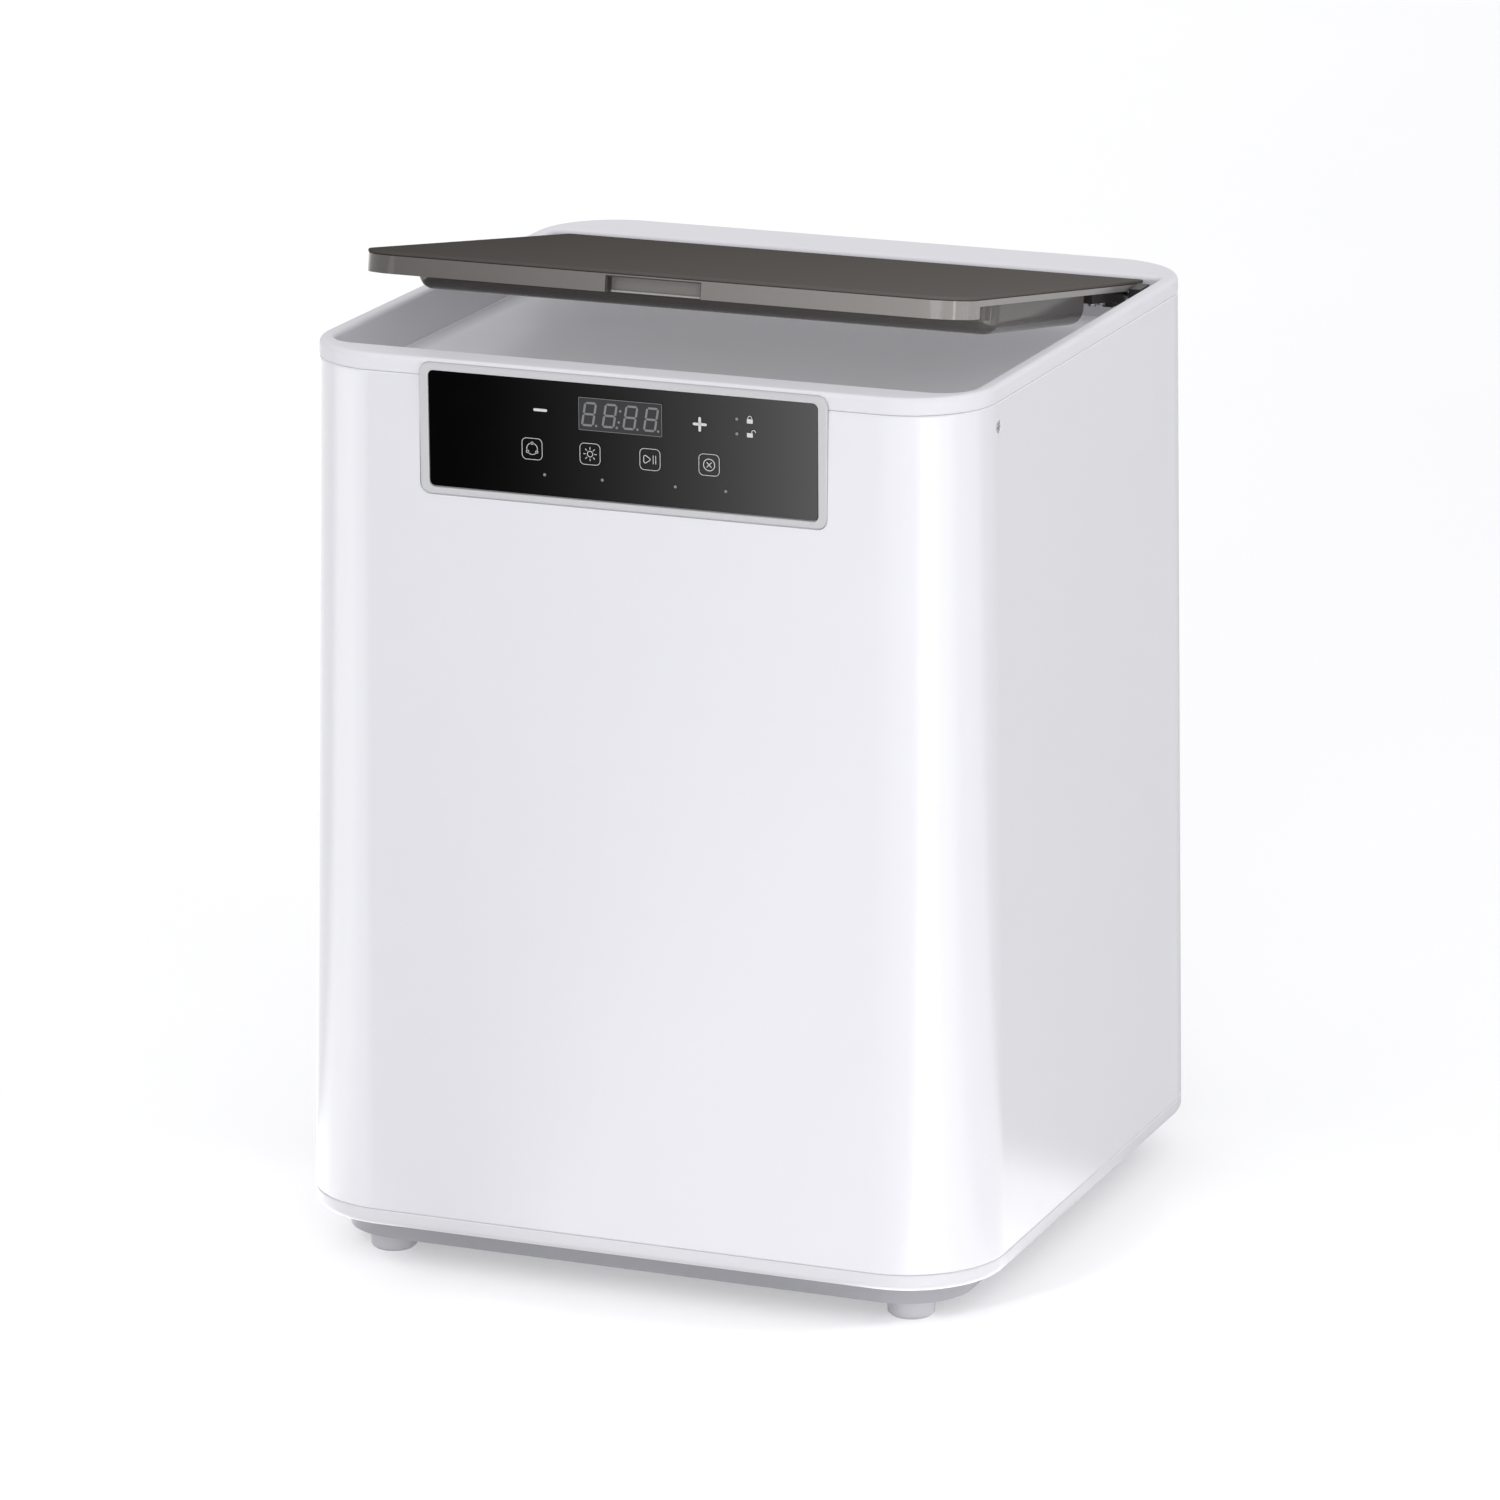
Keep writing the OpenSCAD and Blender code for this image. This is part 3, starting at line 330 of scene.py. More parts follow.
def brushed(name, colour, roughness):
    """Bare metal with a drawn grain."""
    return surface(name, colour, roughness, metallic=1.0, mottle=0.06, rough_spread=0.1,
                   stretch=(1, 1, 14), grain=700, grain_depth=0.000012)


MATERIALS = {
    "shell_gloss_white": surface("shell_gloss_white", (0.685, 0.685, 0.72), 0.12, mottle=0.006,
                                 mottle_scale=5, grain=260, grain_depth=0.000004, rough_spread=0.03),
    "trim_satin_grey": surface("trim_satin_grey", (0.68, 0.675, 0.71), 0.42, mottle=0.012, grain=2200,
                               grain_depth=0.000012, rough_spread=0.05, specular=0.18),
    "panel_black_gloss": glass_panel("panel_black_gloss"),
    "display_grey": surface("display_grey", (0.034, 0.034, 0.036), 0.35, grain=900,
                            grain_depth=0.000004, specular=0.1),
    "circuit_board": surface("circuit_board", (0.02, 0.14, 0.06), 0.35, mottle=0.3, mottle_scale=160,
                             grain=500, grain_depth=0.00004),
    "plinth_grey": surface("plinth_grey", (0.30, 0.30, 0.32), 0.5, mottle=0.02, grain=1800,
                           grain_depth=0.00002, specular=0.25),
    "foot_rubber": surface("foot_rubber", (0.47, 0.47, 0.495), 0.6, mottle=0.04, mottle_scale=40,
                           grain=1500, grain_depth=0.00003, specular=0.2),
    "screw_steel": brushed("screw_steel", (0.52, 0.52, 0.54), 0.34),
    "smoked_lid": smoked("smoked_lid", (0.070, 0.063, 0.057), (0.112, 0.103, 0.096), 0.3, 0.0),
    "smoked_frame": smoked("smoked_frame", (0.085, 0.079, 0.073), (0.26, 0.248, 0.236), 0.13, 0.5),
    "hinge_dark": surface("hinge_dark", (0.022, 0.020, 0.018), 0.42, mottle=0.15, grain=1500,
                          grain_depth=0.00002),
    "magnet_nickel": brushed("magnet_nickel", (0.62, 0.61, 0.58), 0.22),
    "cover_grey": surface("cover_grey", (0.79, 0.785, 0.82), 0.40, mottle=0.02, grain=1600,
                          grain_depth=0.000014, rough_spread=0.05, specular=0.3),
    "pin_steel": brushed("pin_steel", (0.60, 0.60, 0.61), 0.24),
    "seal_rubber": surface("seal_rubber", (0.028, 0.028, 0.030), 0.66, mottle=0.2, mottle_scale=50),
    "liner_grey": surface("liner_grey", (0.50, 0.50, 0.53), 0.34, mottle=0.02, grain=1500,
                          grain_depth=0.00001),
    "tank_clear": surface("tank_clear", (0.80, 0.84, 0.86), 0.10, mottle=0.01, grain=200,
                          grain_depth=0.000005, transmission=0.85, rough_spread=0.03),
    "impeller_white": surface("impeller_white", (0.74, 0.74, 0.72), 0.44, mottle=0.02, grain=1500),
    "basket_steel": brushed("basket_steel", (0.58, 0.58, 0.59), 0.32),
    "led_board": surface("led_board", (0.72, 0.73, 0.70), 0.40, mottle=0.06, mottle_scale=200),
    "diffuser": surface("diffuser", (0.80, 0.82, 0.88), 0.25, mottle=0.02, transmission=0.6),
    "motor_metal": surface("motor_metal", (0.10, 0.10, 0.11), 0.38, metallic=0.6, mottle=0.1, grain=1200),
    "brass_post": brushed("brass_post", (0.72, 0.52, 0.22), 0.28),
    "supply_case": brushed("supply_case", (0.66, 0.66, 0.67), 0.36),
    "socket_black": surface("socket_black", (0.020, 0.020, 0.022), 0.45, mottle=0.15, grain=1700,
                            grain_depth=0.00003),
    "fan_black": surface("fan_black", (0.024, 0.024, 0.026), 0.40, mottle=0.12, grain=1500,
                         grain_depth=0.00002),
}
SMOKED_TUB = smoked("smoked_tub", (0.050, 0.046, 0.042), (0.122, 0.115, 0.108), 0.14, 0.3)
# Pale grey for the lip of the finger notch: a painted highlight.
PULL_HIGHLIGHT_GREY = surface("pull_painted_highlight_grey", (0.34, 0.33, 0.32), 0.2, mottle=0.04, mottle_scale=40, grain=900,
                    grain_depth=0.000004)
BAND_WHITE = surface("band_white", (0.64, 0.635, 0.665), 0.35, mottle=0.012, grain=2200,
                     grain_depth=0.00001, specular=0.3)
BEZEL_GREY = surface("bezel_grey", (0.50, 0.50, 0.515), 0.45, mottle=0.01, grain=2200, grain_depth=0.000010,
                     rough_spread=0.05, specular=0.3)
PRINT_GREY = surface("print_grey", (0.54, 0.54, 0.54), 0.45, mottle=0.04, mottle_scale=300, grain=2500)
LAMP_GREY = surface("lamp_grey", (0.17, 0.17, 0.17), 0.40, mottle=0.05, mottle_scale=300)
SEGMENT_GREY = surface("segment_grey", (0.145, 0.145, 0.15), 0.40, mottle=0.05, mottle_scale=300)


def stand_in(obj, node, material=None):
    """The piece stands for a CAD node: it rides on its body and takes its slot's finish."""
    obj.data.materials.clear()
    obj.data.materials.append(material or MATERIALS[SLOT_OF[node]])
    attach(obj, BODY_OF[node])
    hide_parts(node)
    return obj


def trim(obj, body, material):
    """A piece of detail that stands for no node of its own."""
    obj.data.materials.clear()
    obj.data.materials.append(material)
    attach(obj, body)
    return obj


# ---- Frames of reference ----------------------------------------------------------------------------------

def half_width(z):
    return RIM_HIGH.x + TAPER * (Z_SEAM_TOP - z)


DRAFT = math.atan(TAPER)
Z_PANEL = (BEZEL_LOW.z + BEZEL_HIGH.z) / 2
FACE_TO_SWEEP = Matrix.Rotation(math.radians(90), 4, "X")
ON_FRONT = (Matrix.Translation((0, -half_width(Z_PANEL), Z_PANEL)) @ Matrix.Rotation(DRAFT, 4, "X")
            @ FACE_TO_SWEEP)
IN_LID = (Matrix.Translation(HINGE) @ Matrix.Rotation(-LID_TILT, 4, "X")
          @ Matrix.Translation((0, LID_AXIS_IN, LID_AXIS_DOWN)))

BODY_OUTLINE = rounded_rect(-RIM_HIGH.x, RIM_HIGH.x, -RIM_HIGH.x, RIM_HIGH.x, CORNER_R, CORNER_R, 24)
OPEN_OUTLINE = rounded_rect(-OPEN_X, OPEN_X, OPEN_FRONT, OPEN_REAR, OPEN_FRONT_R, OPEN_REAR_R, 24)
LID_OUTLINE = rounded_rect(-LID_W / 2, LID_W / 2, -LID_L, 0, LID_FRONT_R, LID_REAR_R, 18)

BEZEL_W = BEZEL_HIGH.x - BEZEL_LOW.x
BEZEL_H = 74.5
BEZEL_R = 6
GLASS_W = GLASS_HIGH.x - GLASS_LOW.x
GLASS_H = 65.8
GLASS_R = 3


def panel_outline(width, height, radius):
    return rounded_rect(-width / 2, width / 2, -height / 2, height / 2, radius, radius, 8)


def bezel_room(name):
    """Cutter for the bezel's seat in the shell and in the rim."""
    gap, behind, before = 0.2, -12, 8
    outline = panel_outline(BEZEL_W + 2 * gap, BEZEL_H + 2 * gap, BEZEL_R + gap)
    return sweep(name, rings_of(outline, [(0, behind), (0, before)]), True, ON_FRONT)


# ---- Cabinet ----------------------------------------------------------------------------------------------

def shell_moulding():
    spread = TAPER * (Z_SEAM_TOP - Z_SEAM_LOW)
    profile = filleted([(-WALL, Z_SEAM_TOP, 0.4), (0, Z_SEAM_TOP, 0.9), (spread, Z_SEAM_LOW, 0.9),
                        (spread - WALL, Z_SEAM_LOW, 0.4)], 3)
    obj = sweep("shell_moulding", rings_of(BODY_OUTLINE, profile))
    tools = [bezel_room("bezel_cut")]
    low, high = cad("socket_plate")
    gap, seat, edge, clear = 0.2, 1.5, 4, 9
    tools.append(block("socket_cut", (low.x - gap, high.y - seat, low.z - gap),
                       (high.x + gap, high.y + clear, high.z + gap)))
    tools.append(block("socket_way", (low.x + edge, low.y - edge, low.z + edge),
                       (high.x - edge, high.y + clear, high.z - edge)))
    low, high = cad("vent_grille")
    middle = (low + high) / 2
    turn = Matrix.Translation((middle.x, 0, middle.z)) @ FACE_TO_SWEEP
    fan_r = (high.x - low.x) / 2 - 3
    way_from, way_to = -240, -180
    ring_steps = 64
    angles = [2 * math.pi * k / ring_steps for k in range(ring_steps)]
    ring = [(0, 0, math.cos(a), math.sin(a), 0) for a in angles]
    tools.append(sweep("fan_cut", rings_of(ring, [(fan_r, way_from), (fan_r, way_to)]), True, turn))
    low, high = cad("side_screws")
    screw_y, screw_z = (low.y + high.y) / 2, (low.z + high.z) / 2
    face = half_width(screw_z)
    head_r, sunk = 3.65, 1.8
    seat = [(head_r, face - sunk), (head_r, face + 5)]
    for side in (-1, 1):
        turn = Matrix.Translation((0, screw_y, screw_z)) @ Matrix.Rotation(side * math.pi / 2, 4, "Y")
        tools.append(sweep("screw_cut", rings_of(ring, seat), True, turn))
    cut(obj, *tools)
    level(obj)
    return stand_in(obj, "outer_shell")


def rim_moulding():
    low = Z_SEAM_TOP + SEAM
    lean = -TAPER * (Z_TOP - Z_SEAM_TOP)
    deck = 3
    collar_low = RIM_LOW.z
    outer = filleted([(-4, Z_TOP - deck, 0), (-3, low, 0.4), (0, low, 0.9), (lean, Z_TOP, 3),
                      (-4, Z_TOP, 0)], 6)
    inner = filleted([(3.2, Z_TOP, 0), (0, Z_TOP, 3), (-COLLAR_TAPER, collar_low, 0.4),
                      (-COLLAR_TAPER + 2.5, collar_low, 0.4), (2.5, Z_TOP - deck, 0)], 6)
    rings = rings_of(BODY_OUTLINE, outer) + rings_of(OPEN_OUTLINE, inner)
    obj = sweep("rim_moulding", rings)
    cut(obj, bezel_room("bezel_cut"))
    level(obj)
    return stand_in(obj, "rim_frame")


def base_moulding():
    spread = TAPER * (Z_SEAM_TOP - Z_SEAM_LOW)
    top = Z_SEAM_LOW - SEAM
    low = BAND_LOW.z
    lip_out, lip_in, floor_in, thick = spread - 3.5, spread - 6, spread - 30, 3
    outer = filleted([(floor_in, low, 0), (spread, low, 4.4), (spread, top, 0.9),
                      (lip_out, top, 0), (lip_out, BAND_HIGH.z, 0.4), (lip_in, BAND_HIGH.z, 0.4),
                      (lip_in, low + thick, 1), (floor_in, low + thick, 0)], 6)
    obj = sweep("base_moulding", rings_of(BODY_OUTLINE, outer), True)
    level(obj)
    return stand_in(obj, "base_tray", material=BAND_WHITE)


def basin_tray():
    """Cover over the tank: a flat floor that coves up into a thin lip against the collar."""
    floor_z = COVER_LOW.z + 3
    lip_z = floor_z + 6

    def inset(d):
        return rounded_rect(-OPEN_X + d, OPEN_X - d, OPEN_FRONT + d, OPEN_REAR - d,
                            max(OPEN_FRONT_R - d, 4), max(OPEN_REAR_R - d, 0.4), 24)

    def collar_at(z):
        return COLLAR_TAPER * (Z_TOP - z) / (Z_TOP - RIM_LOW.z)

    gap, lip, cove_r, inner = 0.25, 0.8, 5, 26
    profile = filleted([(inner, COVER_LOW.z, 0), (collar_at(COVER_LOW.z) + gap, COVER_LOW.z, 0.4),
                        (collar_at(lip_z) + gap, lip_z, 0.2), (collar_at(lip_z) + lip, lip_z, 0.2),
                        (collar_at(floor_z) + lip, floor_z, cove_r), (inner, floor_z, 0)], 8)
    obj = sweep("basin_tray", [(inset(d), 0, z) for d, z in profile], True)
    below, above = Vector((0.8, 0.8, 2)), Vector((0.8, 0.8, 4))
    tools = []
    for node in ("hinge_bracket_left", "hinge_bracket_right"):
        low, high = cad(node)
        tools.append(block(node + "_room", low - below, high + above))
    cut(obj, *tools)
    level(obj)
    return stand_in(obj, "tank_cover")


def panel_bezel_frame():
    gap, back, proud = 0.3, -7.5, 0.8
    outline = panel_outline(BEZEL_W, BEZEL_H, BEZEL_R)
    hole = panel_outline(GLASS_W + 2 * gap, GLASS_H + 2 * gap, GLASS_R + gap)
    outer = filleted([(0, back, 0.3), (0, proud, 0.9), (-1.6, proud, 0)], 4)
    inner = filleted([(1.2, proud, 0), (0, proud, 0.5), (0, back, 0.3)], 4)
    obj = sweep("panel_surround", rings_of(outline, outer) + rings_of(hole, inner), place=ON_FRONT)
    level(obj)
    return stand_in(obj, "panel_bezel", material=BEZEL_GREY)


def panel_face():
    outline = panel_outline(GLASS_W, GLASS_H, GLASS_R)
    back, proud, inner = -2.4, 0.5, -2.5
    profile = filleted([(inner, back, 0), (0, back, 0.2), (0, proud, 0.45), (inner, proud, 0)], 4)
    place = ON_FRONT @ Matrix.Translation((0, 0.4, 0))
    obj = sweep("panel_face", rings_of(outline, profile), True, place)
    level(obj)
    return stand_in(obj, "panel_glass")


# ---- Marks on the panel: strokes in the panel's own plane, in millimetres from its centre ------------------

def stroke(path, width, ends="round"):
    """Stations (x, y, half width) along a path, with round, pointed or flat ends, or closed on itself."""
    half = width / 2
    stations = [(x, y, half) for x, y in path]
    if ends in ("closed", "flat"):
        return stations, ends == "closed"
    turns = [math.radians(15 * k) for k in range(1, 7)] if ends == "round" else [math.radians(90)]
    for place, (x, y), (nx, ny) in ((0, path[0], path[1]), (-1, path[-1], path[-2])):
        ahead = (Vector((x, y)) - Vector((nx, ny))).normalized()
        cap = [(x + ahead.x * half * math.sin(t), y + ahead.y * half * math.sin(t),
                max(0.02, half * math.cos(t))) for t in turns]
        stations = cap[::-1] + stations if place == 0 else stations + cap
    return stations, False


def raised(name, strokes, low, high):
    """One mesh of all the strokes, standing from a low to a high level on the panel."""
    points, faces = [], []
    for stations, closed in strokes:
        count = len(stations)
        first = len(points)
        for i, (x, y, half) in enumerate(stations):
            back = stations[i - 1] if i or closed else stations[0]
            ahead = stations[(i + 1) % count] if i < count - 1 or closed else stations[-1]
            along = Vector((ahead[0] - back[0], ahead[1] - back[1])).normalized()
            side = Vector((-along.y, along.x)) * half
            points += [(x + side.x, y + side.y, low), (x + side.x, y + side.y, high),
                       (x - side.x, y - side.y, high), (x - side.x, y - side.y, low)]
        for i in range(count if closed else count - 1):
            a, b = first + 4 * i, first + 4 * ((i + 1) % count)
            faces += [(a + k, a + (k + 1) % 4, b + (k + 1) % 4, b + k) for k in range(4)]
        if not closed:
            last = first + 4 * (count - 1)
            faces += [(first, first + 1, first + 2, first + 3), (last, last + 1, last + 2, last + 3)]
    return mesh_object(name, points, faces, ON_FRONT)


def arc(x, y, r, start, end, steps=16):
    angles = [math.radians(start + (end - start) * k / steps) for k in range(steps + 1)]
    return [(x + r * math.cos(a), y + r * math.sin(a)) for a in angles]


def ring(x, y, r, width, steps=24):
    return stroke(arc(x, y, r, 0, 360 - 360 / steps, steps - 1), width, "closed")


def dot(x, y, r):
    return stroke([(x - 0.01, y), (x + 0.01, y)], 2 * r)


def icon_frame(x, y, size=12.0, r=2.6, width=0.28):
    corners = [(x + sx * size / 2, y + sy * size / 2, r) for sx, sy in ((1, 1), (-1, 1), (-1, -1), (1, -1))]
    return stroke(filleted(corners, 5), width, "closed")


def cycle_icon(x, y, r=3.2, width=0.34):
    knots = (90, 210, 330)
    arcs = [stroke(arc(x, y, r, a + 24, a + 96), width) for a in knots]
    beads = [ring(x + r * math.cos(math.radians(a)), y + r * math.sin(math.radians(a)), 0.7, 0.3, 14)
             for a in knots]
    return arcs + beads


def sun_icon(x, y, width=0.36):
    rays = [math.radians(45 * k) for k in range(8)]
    near, far = 2.7, 3.8
    return [ring(x, y, 1.6, width)] + [
        stroke([(x + r * math.cos(a), y + r * math.sin(a)) for r in (near, far)], width) for a in rays]


def play_icon(x, y, width=0.38):
    triangle = filleted([(x - 3.7, y + 2.9, 0.9), (x - 3.7, y - 2.9, 0.9), (x + 0.7, y, 0.7)], 4)
    bars = [stroke([(x + at, y - 2.3), (x + at, y + 2.3)], 0.32) for at in (1.9, 3.4)]
    return [stroke(triangle, width, "closed")] + bars


def cancel_icon(x, y, width=0.4):
    reach = 1.3
    return [ring(x, y, 3.3, width, 32)] + [
        stroke([(x - reach, y - s * reach), (x + reach, y + s * reach)], width) for s in (-1, 1)]


def padlock(x, y, swing):
    """Solid body with a shackle, which stands to one side when the lock is open."""
    body = stroke([(x - 1.7, y - 0.75), (x + 1.7, y - 0.75)], 2.4, "flat")
    shackle = [(x + swing - 1.1, y + 0.4)] + arc(x + swing, y + 1.0, 1.1, 180, 0, 10)
    if swing == 0:
        shackle.append((x + 1.1, y + 0.4))
    return [body, stroke(shackle, 0.38)]


def digit(x, y):
    """All seven strokes of one slanted figure, unlit, and its point."""
    wide, tall, width, gap = 6.4, 12.6, 1.2, 0.8
    lean = 0.17

    def at(px, py):
        return (x + px + lean * py, y + py)

    across = [[at(-wide / 2 + gap, h), at(wide / 2 - gap, h)] for h in (-tall / 2, 0, tall / 2)]
    upright = [[at(side * wide / 2, base + gap), at(side * wide / 2, base + tall / 2 - gap)]
               for side in (-1, 1) for base in (-tall / 2, 0)]
    point = dot(*at(5.2, -tall / 2), 0.7)
    return [stroke(path, width, "point") for path in across + upright] + [point]


def panel_marks():
    """Touch marks, lamps and the display window, each a thin raised print on the glass."""
    glass_z = 0.9
    sunk = glass_z - 0.1
    printed = glass_z + 0.12

    keys = [(-53.2, cycle_icon), (-18.6, sun_icon), (17.0, play_icon), (51.9, cancel_icon)]
    key_y = -6.4
    marks = []
    for x, icon in keys:
        marks += [icon_frame(x, key_y)] + icon(x, key_y)
    thick, reach, sign_y = 1.5, 3.35, 16
    minus_x, plus_x = -48, 46.6
    for x in (minus_x, plus_x):
        marks.append(stroke([(x - reach, sign_y), (x + reach, sign_y)], thick))
    marks += [stroke([(plus_x, sign_y + s * (thick / 2 + 0.01)), (plus_x, sign_y + s * reach)], thick)
              for s in (-1, 1)]
    marks += padlock(76.0, 20.9, 0) + padlock(76.0, 13.1, 2.2)
    marks = raised("panel_marks", marks, sunk, printed)
    trim(marks, "cabinet", PRINT_GREY)

    lamp_r = 0.85
    lamps = [dot(68.4, y, lamp_r) for y in (20.8, 12.5)]
    lamps += [dot(x, -20.5, lamp_r) for x in (-45.9, -11.5, 31.8, 61.6)]
    trim(raised("panel_lamps", lamps, sunk, printed), "cabinet", LAMP_GREY)

    left, right, low, high = -25.0, 24.2, 7.0, 25.3
    middle = (low + high) / 2
    field = stroke([(left, middle), (right, middle)], high - low, "flat")
    trim(raised("display_field", [field], sunk, glass_z + 0.04), "cabinet",
         MATERIALS["display_grey"])
    corners = [(right, high, 0.5), (left, high, 0.5), (left, low, 0.5), (right, low, 0.5)]
    figures = [stroke(filleted(corners, 2), 0.26, "closed")]
    digits, pitch, centre_x = 4, 12.25, -0.5
    for k in range(digits):
        figures += digit(centre_x + (k - (digits - 1) / 2) * pitch, middle)
    figures += [dot(centre_x - 0.3 + s * 0.5, middle + s * 3.2, 0.7) for s in (-1, 1)]
    trim(raised("display_figures", figures, glass_z, glass_z + 0.1), "cabinet",
         SEGMENT_GREY)


# ---- Lid --------------------------------------------------------------------------------------------------

def lid_sheet():
    thick = 2
    profile = filleted([(-2.4, -thick, 0), (-0.5, -thick, 0.2), (0, -thick + 0.5, 0.2), (0, 0, 0.6),
                        (-2.4, 0, 0)], 4)
    obj = sweep("lid_sheet", rings_of(LID_OUTLINE, profile), True, IN_LID)
    level(obj)
    return stand_in(obj, "lid_plate")


def finger_pull():
    """Finger notch: dark strips above and beside it that paint the shade of its recess, and a lip along its
    foot painted pale as a highlight.
    """
    half, depth, ceiling, foot = 28.5, 7, -3.1, -12.5
    front, back = -LID_L + 0.5, -LID_L + depth
    shade_low, side_top = ceiling - 0.7, ceiling - 0.75
    left_thick, right_thick, bevel = 1.1, 0.6, 0.15
    # Dark strips under the notch's ceiling and down both its sides: painted shade.
    edges = [block("pull_painted_shade", (-half, front, shade_low), (half, back, ceiling), IN_LID, bevel),
             block("pull_painted_shade_left", (-half, front, foot), (-half + left_thick, back, side_top),
                   IN_LID, bevel),
             block("pull_painted_shade_right", (half - right_thick, front, foot), (half, back, side_top),
                   IN_LID, bevel)]
    joined = join("pull_painted_shade", edges)
    trim(joined, "lid", MATERIALS["hinge_dark"])
    # The lip's pale grey is a painted highlight along the foot of the notch.
    lip = block("pull_lip_painted_highlight", (-half + 1.2, back - 1.4, foot), (half - 0.7, back, foot + 1.1), IN_LID, 0.3)
    trim(lip, "lid", PULL_HIGHLIGHT_GREY)


def lid_tub():
    half, rear, front, depth, round_r = 175, -80, -241.5, 24, 9
    wall, corner_r, top, inner = 2.5, 10.4, -5.9, -10
    outline = rounded_rect(-half, half, front, rear, corner_r, corner_r, 10)
    profile = filleted([(inner, -depth, 0), (0, -depth, round_r), (0, top, 0.4), (-wall, top, 0.4),
                        (-wall, -depth + wall, round_r - wall), (inner, -depth + wall, 0)], 6)
    obj = sweep("lid_tub", rings_of(outline, profile), True, IN_LID)
    level(obj)
    return stand_in(obj, "lid_box", material=SMOKED_TUB)


shell_moulding()
rim_moulding()
base_moulding()
basin_tray()
panel_bezel_frame()
panel_face()
panel_marks()
lid_sheet()
finger_pull()
lid_tub()

# ---- CAD nodes that stay: better edges and materials ------------------------------------------------------

for name, obj in NODES.items():
    if obj.hide_render:
        continue
    obj.data.materials.clear()
    obj.data.materials.append(MATERIALS[SLOT_OF[name]])
    soften(obj, 0.3)


# ---- Studio -----------------------------------------------------------------------------------------------

def world_light(strength):
    world = bpy.data.worlds.new("studio")
    bpy.context.scene.world = world
    world.use_nodes = True
    shade = world.node_tree.nodes["Background"]
    shade.inputs["Color"].default_value = (0.985, 0.985, 1.0, 1)
    shade.inputs["Strength"].default_value = strength


def stage_object(name, points, faces, material):
    mesh = bpy.data.meshes.new(name)
    mesh.from_pydata(points, [], faces)
    obj = bpy.data.objects.new(name, mesh)
    bpy.context.scene.collection.objects.link(obj)
    obj.data.materials.append(material)
    return obj


def floor():
    size = 24
    stage_object("floor", [(-size, -size, 0), (size, -size, 0), (size, size, 0), (-size, size, 0)],
                 [(0, 1, 2, 3)], surface("floor_pale", (0.95, 0.95, 0.955), 0.7, mottle=0.004,
                                         mottle_scale=1.5, grain=120, grain_depth=0.00003, specular=0.1))


def glow(name):
    """Emission material, its emission node and the object coordinates split into axes."""
    material = bpy.data.materials.new(name)
    material.use_nodes = True
    tree = material.node_tree
    tree.nodes.remove(tree.nodes["Principled BSDF"])
    emit = tree.nodes.new("ShaderNodeEmission")
    tree.links.new(emit.outputs["Emission"], tree.nodes["Material Output"].inputs["Surface"])
    place = tree.nodes.new("ShaderNodeTexCoord")
    split = tree.nodes.new("ShaderNodeSeparateXYZ")
    tree.links.new(place.outputs["Object"], split.inputs["Vector"])
    return material, emit, split


def seen_in_gloss_only(obj):
    obj.visible_camera = False
    obj.visible_diffuse = False
    obj.visible_shadow = False
    obj.visible_transmission = False


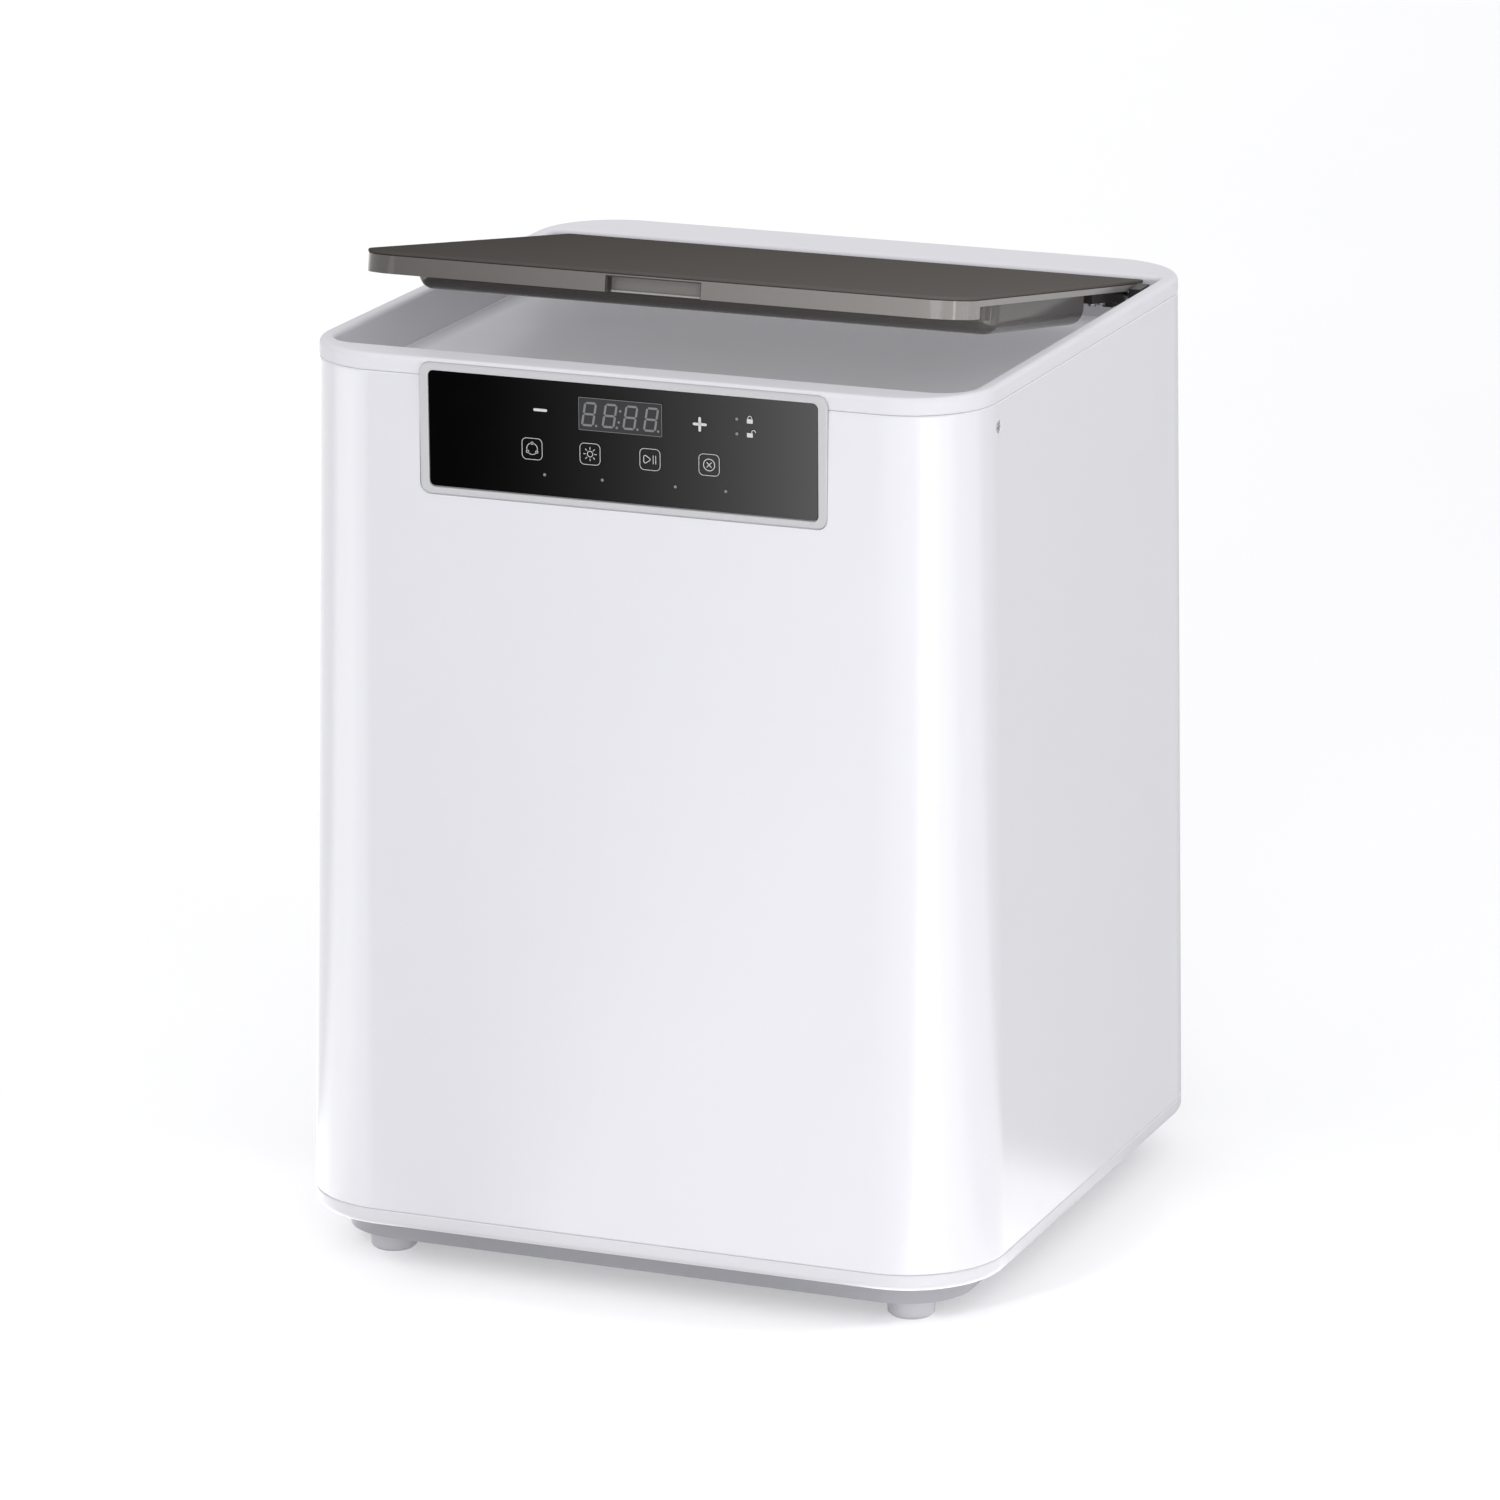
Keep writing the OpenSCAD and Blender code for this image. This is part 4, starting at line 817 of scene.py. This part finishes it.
def reflector_mat():
    """Ring of light cards on the floor, seen only in glossy faces: a bright card towards each corner."""
    material, emit, split = glow("reflector_mat")
    tree = material.node_tree
    bearing = tree.nodes.new("ShaderNodeMath")
    bearing.operation = "ARCTAN2"
    flip = tree.nodes.new("ShaderNodeMath")
    flip.operation = "MULTIPLY"
    flip.inputs[1].default_value = -1
    tree.links.new(split.outputs["X"], bearing.inputs[0])
    tree.links.new(split.outputs["Y"], flip.inputs[0])
    tree.links.new(flip.outputs["Value"], bearing.inputs[1])
    turn = tree.nodes.new("ShaderNodeMapRange")
    turn.inputs["From Min"].default_value = -math.pi
    turn.inputs["From Max"].default_value = math.pi
    tree.links.new(bearing.outputs["Value"], turn.inputs["Value"])
    ramp = tree.nodes.new("ShaderNodeValToRGB")
    ramp.color_ramp.interpolation = "EASE"
    tree.links.new(turn.outputs["Result"], ramp.inputs["Fac"])
    tree.links.new(ramp.outputs["Color"], emit.inputs["Color"])
    peak = 8.0
    emit.inputs["Strength"].default_value = peak
    cards = [(-180, 0.6), (-150, 2.6), (-122, 1.6), (-88, 1.4), (-70, 3.4), (-54, 3.8), (-40, 2.6),
             (-27, 0.4), (-12, 2.5), (14, 2.8), (26, 3.0), (40, 6.4), (60, 4.2), (82, 2.2), (102, 1.8),
             (120, 0.6)]
    elements = ramp.color_ramp.elements
    elements[0].position, elements[1].position = 0.0, 1.0
    elements[0].color = elements[1].color = [cards[0][1] / peak] * 3 + [1]
    for angle, value in cards[1:]:
        element = elements.new((angle + 180) / 360)
        element.color = [value / peak] * 3 + [1]
    steps, near, far = 72, 0.24, 4.5
    points = [(r * math.sin(a), -r * math.cos(a), 0.002)
              for a in (2 * math.pi * k / steps for k in range(steps)) for r in (near, far)]
    faces = [(2 * k, 2 * ((k + 1) % steps), 2 * ((k + 1) % steps) + 1, 2 * k + 1) for k in range(steps)]
    seen_in_gloss_only(stage_object("reflector_mat", points, faces, material))


def softbox(name, place, aim, width, height, radiance):
    light = bpy.data.lights.new(name, "AREA")
    light.shape = "RECTANGLE"
    light.size = width
    light.size_y = height
    light.energy = radiance * math.pi * width * height
    lamp = bpy.data.objects.new(name, light)
    bpy.context.scene.collection.objects.link(lamp)
    lamp.location = place
    lamp.rotation_euler = (Vector(aim) - Vector(place)).to_track_quat("-Z", "Y").to_euler()
    lamp.visible_camera = False


def overhead_fill(strength):
    """Shadowless light from above, for an even pale floor and an open-looking basin."""
    light = bpy.data.lights.new("overhead_fill", "SUN")
    light.energy = strength * math.pi
    light.angle = math.radians(40)
    light.use_shadow = False
    lamp = bpy.data.objects.new("overhead_fill", light)
    bpy.context.scene.collection.objects.link(lamp)
    lamp.rotation_euler = (-Vector((0.25, -0.3, 1.0))).to_track_quat("-Z", "Y").to_euler()
    lamp.visible_glossy = False
    lamp.visible_camera = False


def studio():
    world_light(0.67)
    floor()
    reflector_mat()
    overhead_fill(0.38)
    softbox("front_right", (1.3, -2.6, 1.2), (0, 0, 0.3), 1.3, 1.8, 1.6)
    softbox("front_left", (-1.7, -2.4, 1.1), (0, 0, 0.3), 0.5, 1.8, 0.8)
    softbox("strip_right", (2.6, -0.9, 0.9), (0, 0, 0.45), 0.22, 1.3, 5.0)


def camera():
    azimuth, elevation = math.radians(21.65), math.radians(15.35)
    target = Vector((-0.0040, 0, 0.2693))
    distance = 4.510
    back = Vector((math.sin(azimuth) * math.cos(elevation), -math.cos(azimuth) * math.cos(elevation),
                   math.sin(elevation)))
    data = bpy.data.cameras.new("camera")
    data.sensor_width = 36
    data.lens = 186.9
    data.clip_end = 100
    obj = bpy.data.objects.new("camera", data)
    bpy.context.scene.collection.objects.link(obj)
    obj.location = target + back * distance
    obj.rotation_euler = (-back).to_track_quat("-Z", "Y").to_euler()
    bpy.context.scene.camera = obj


studio()
camera()
bpy.context.scene.view_settings.view_transform = "Standard"
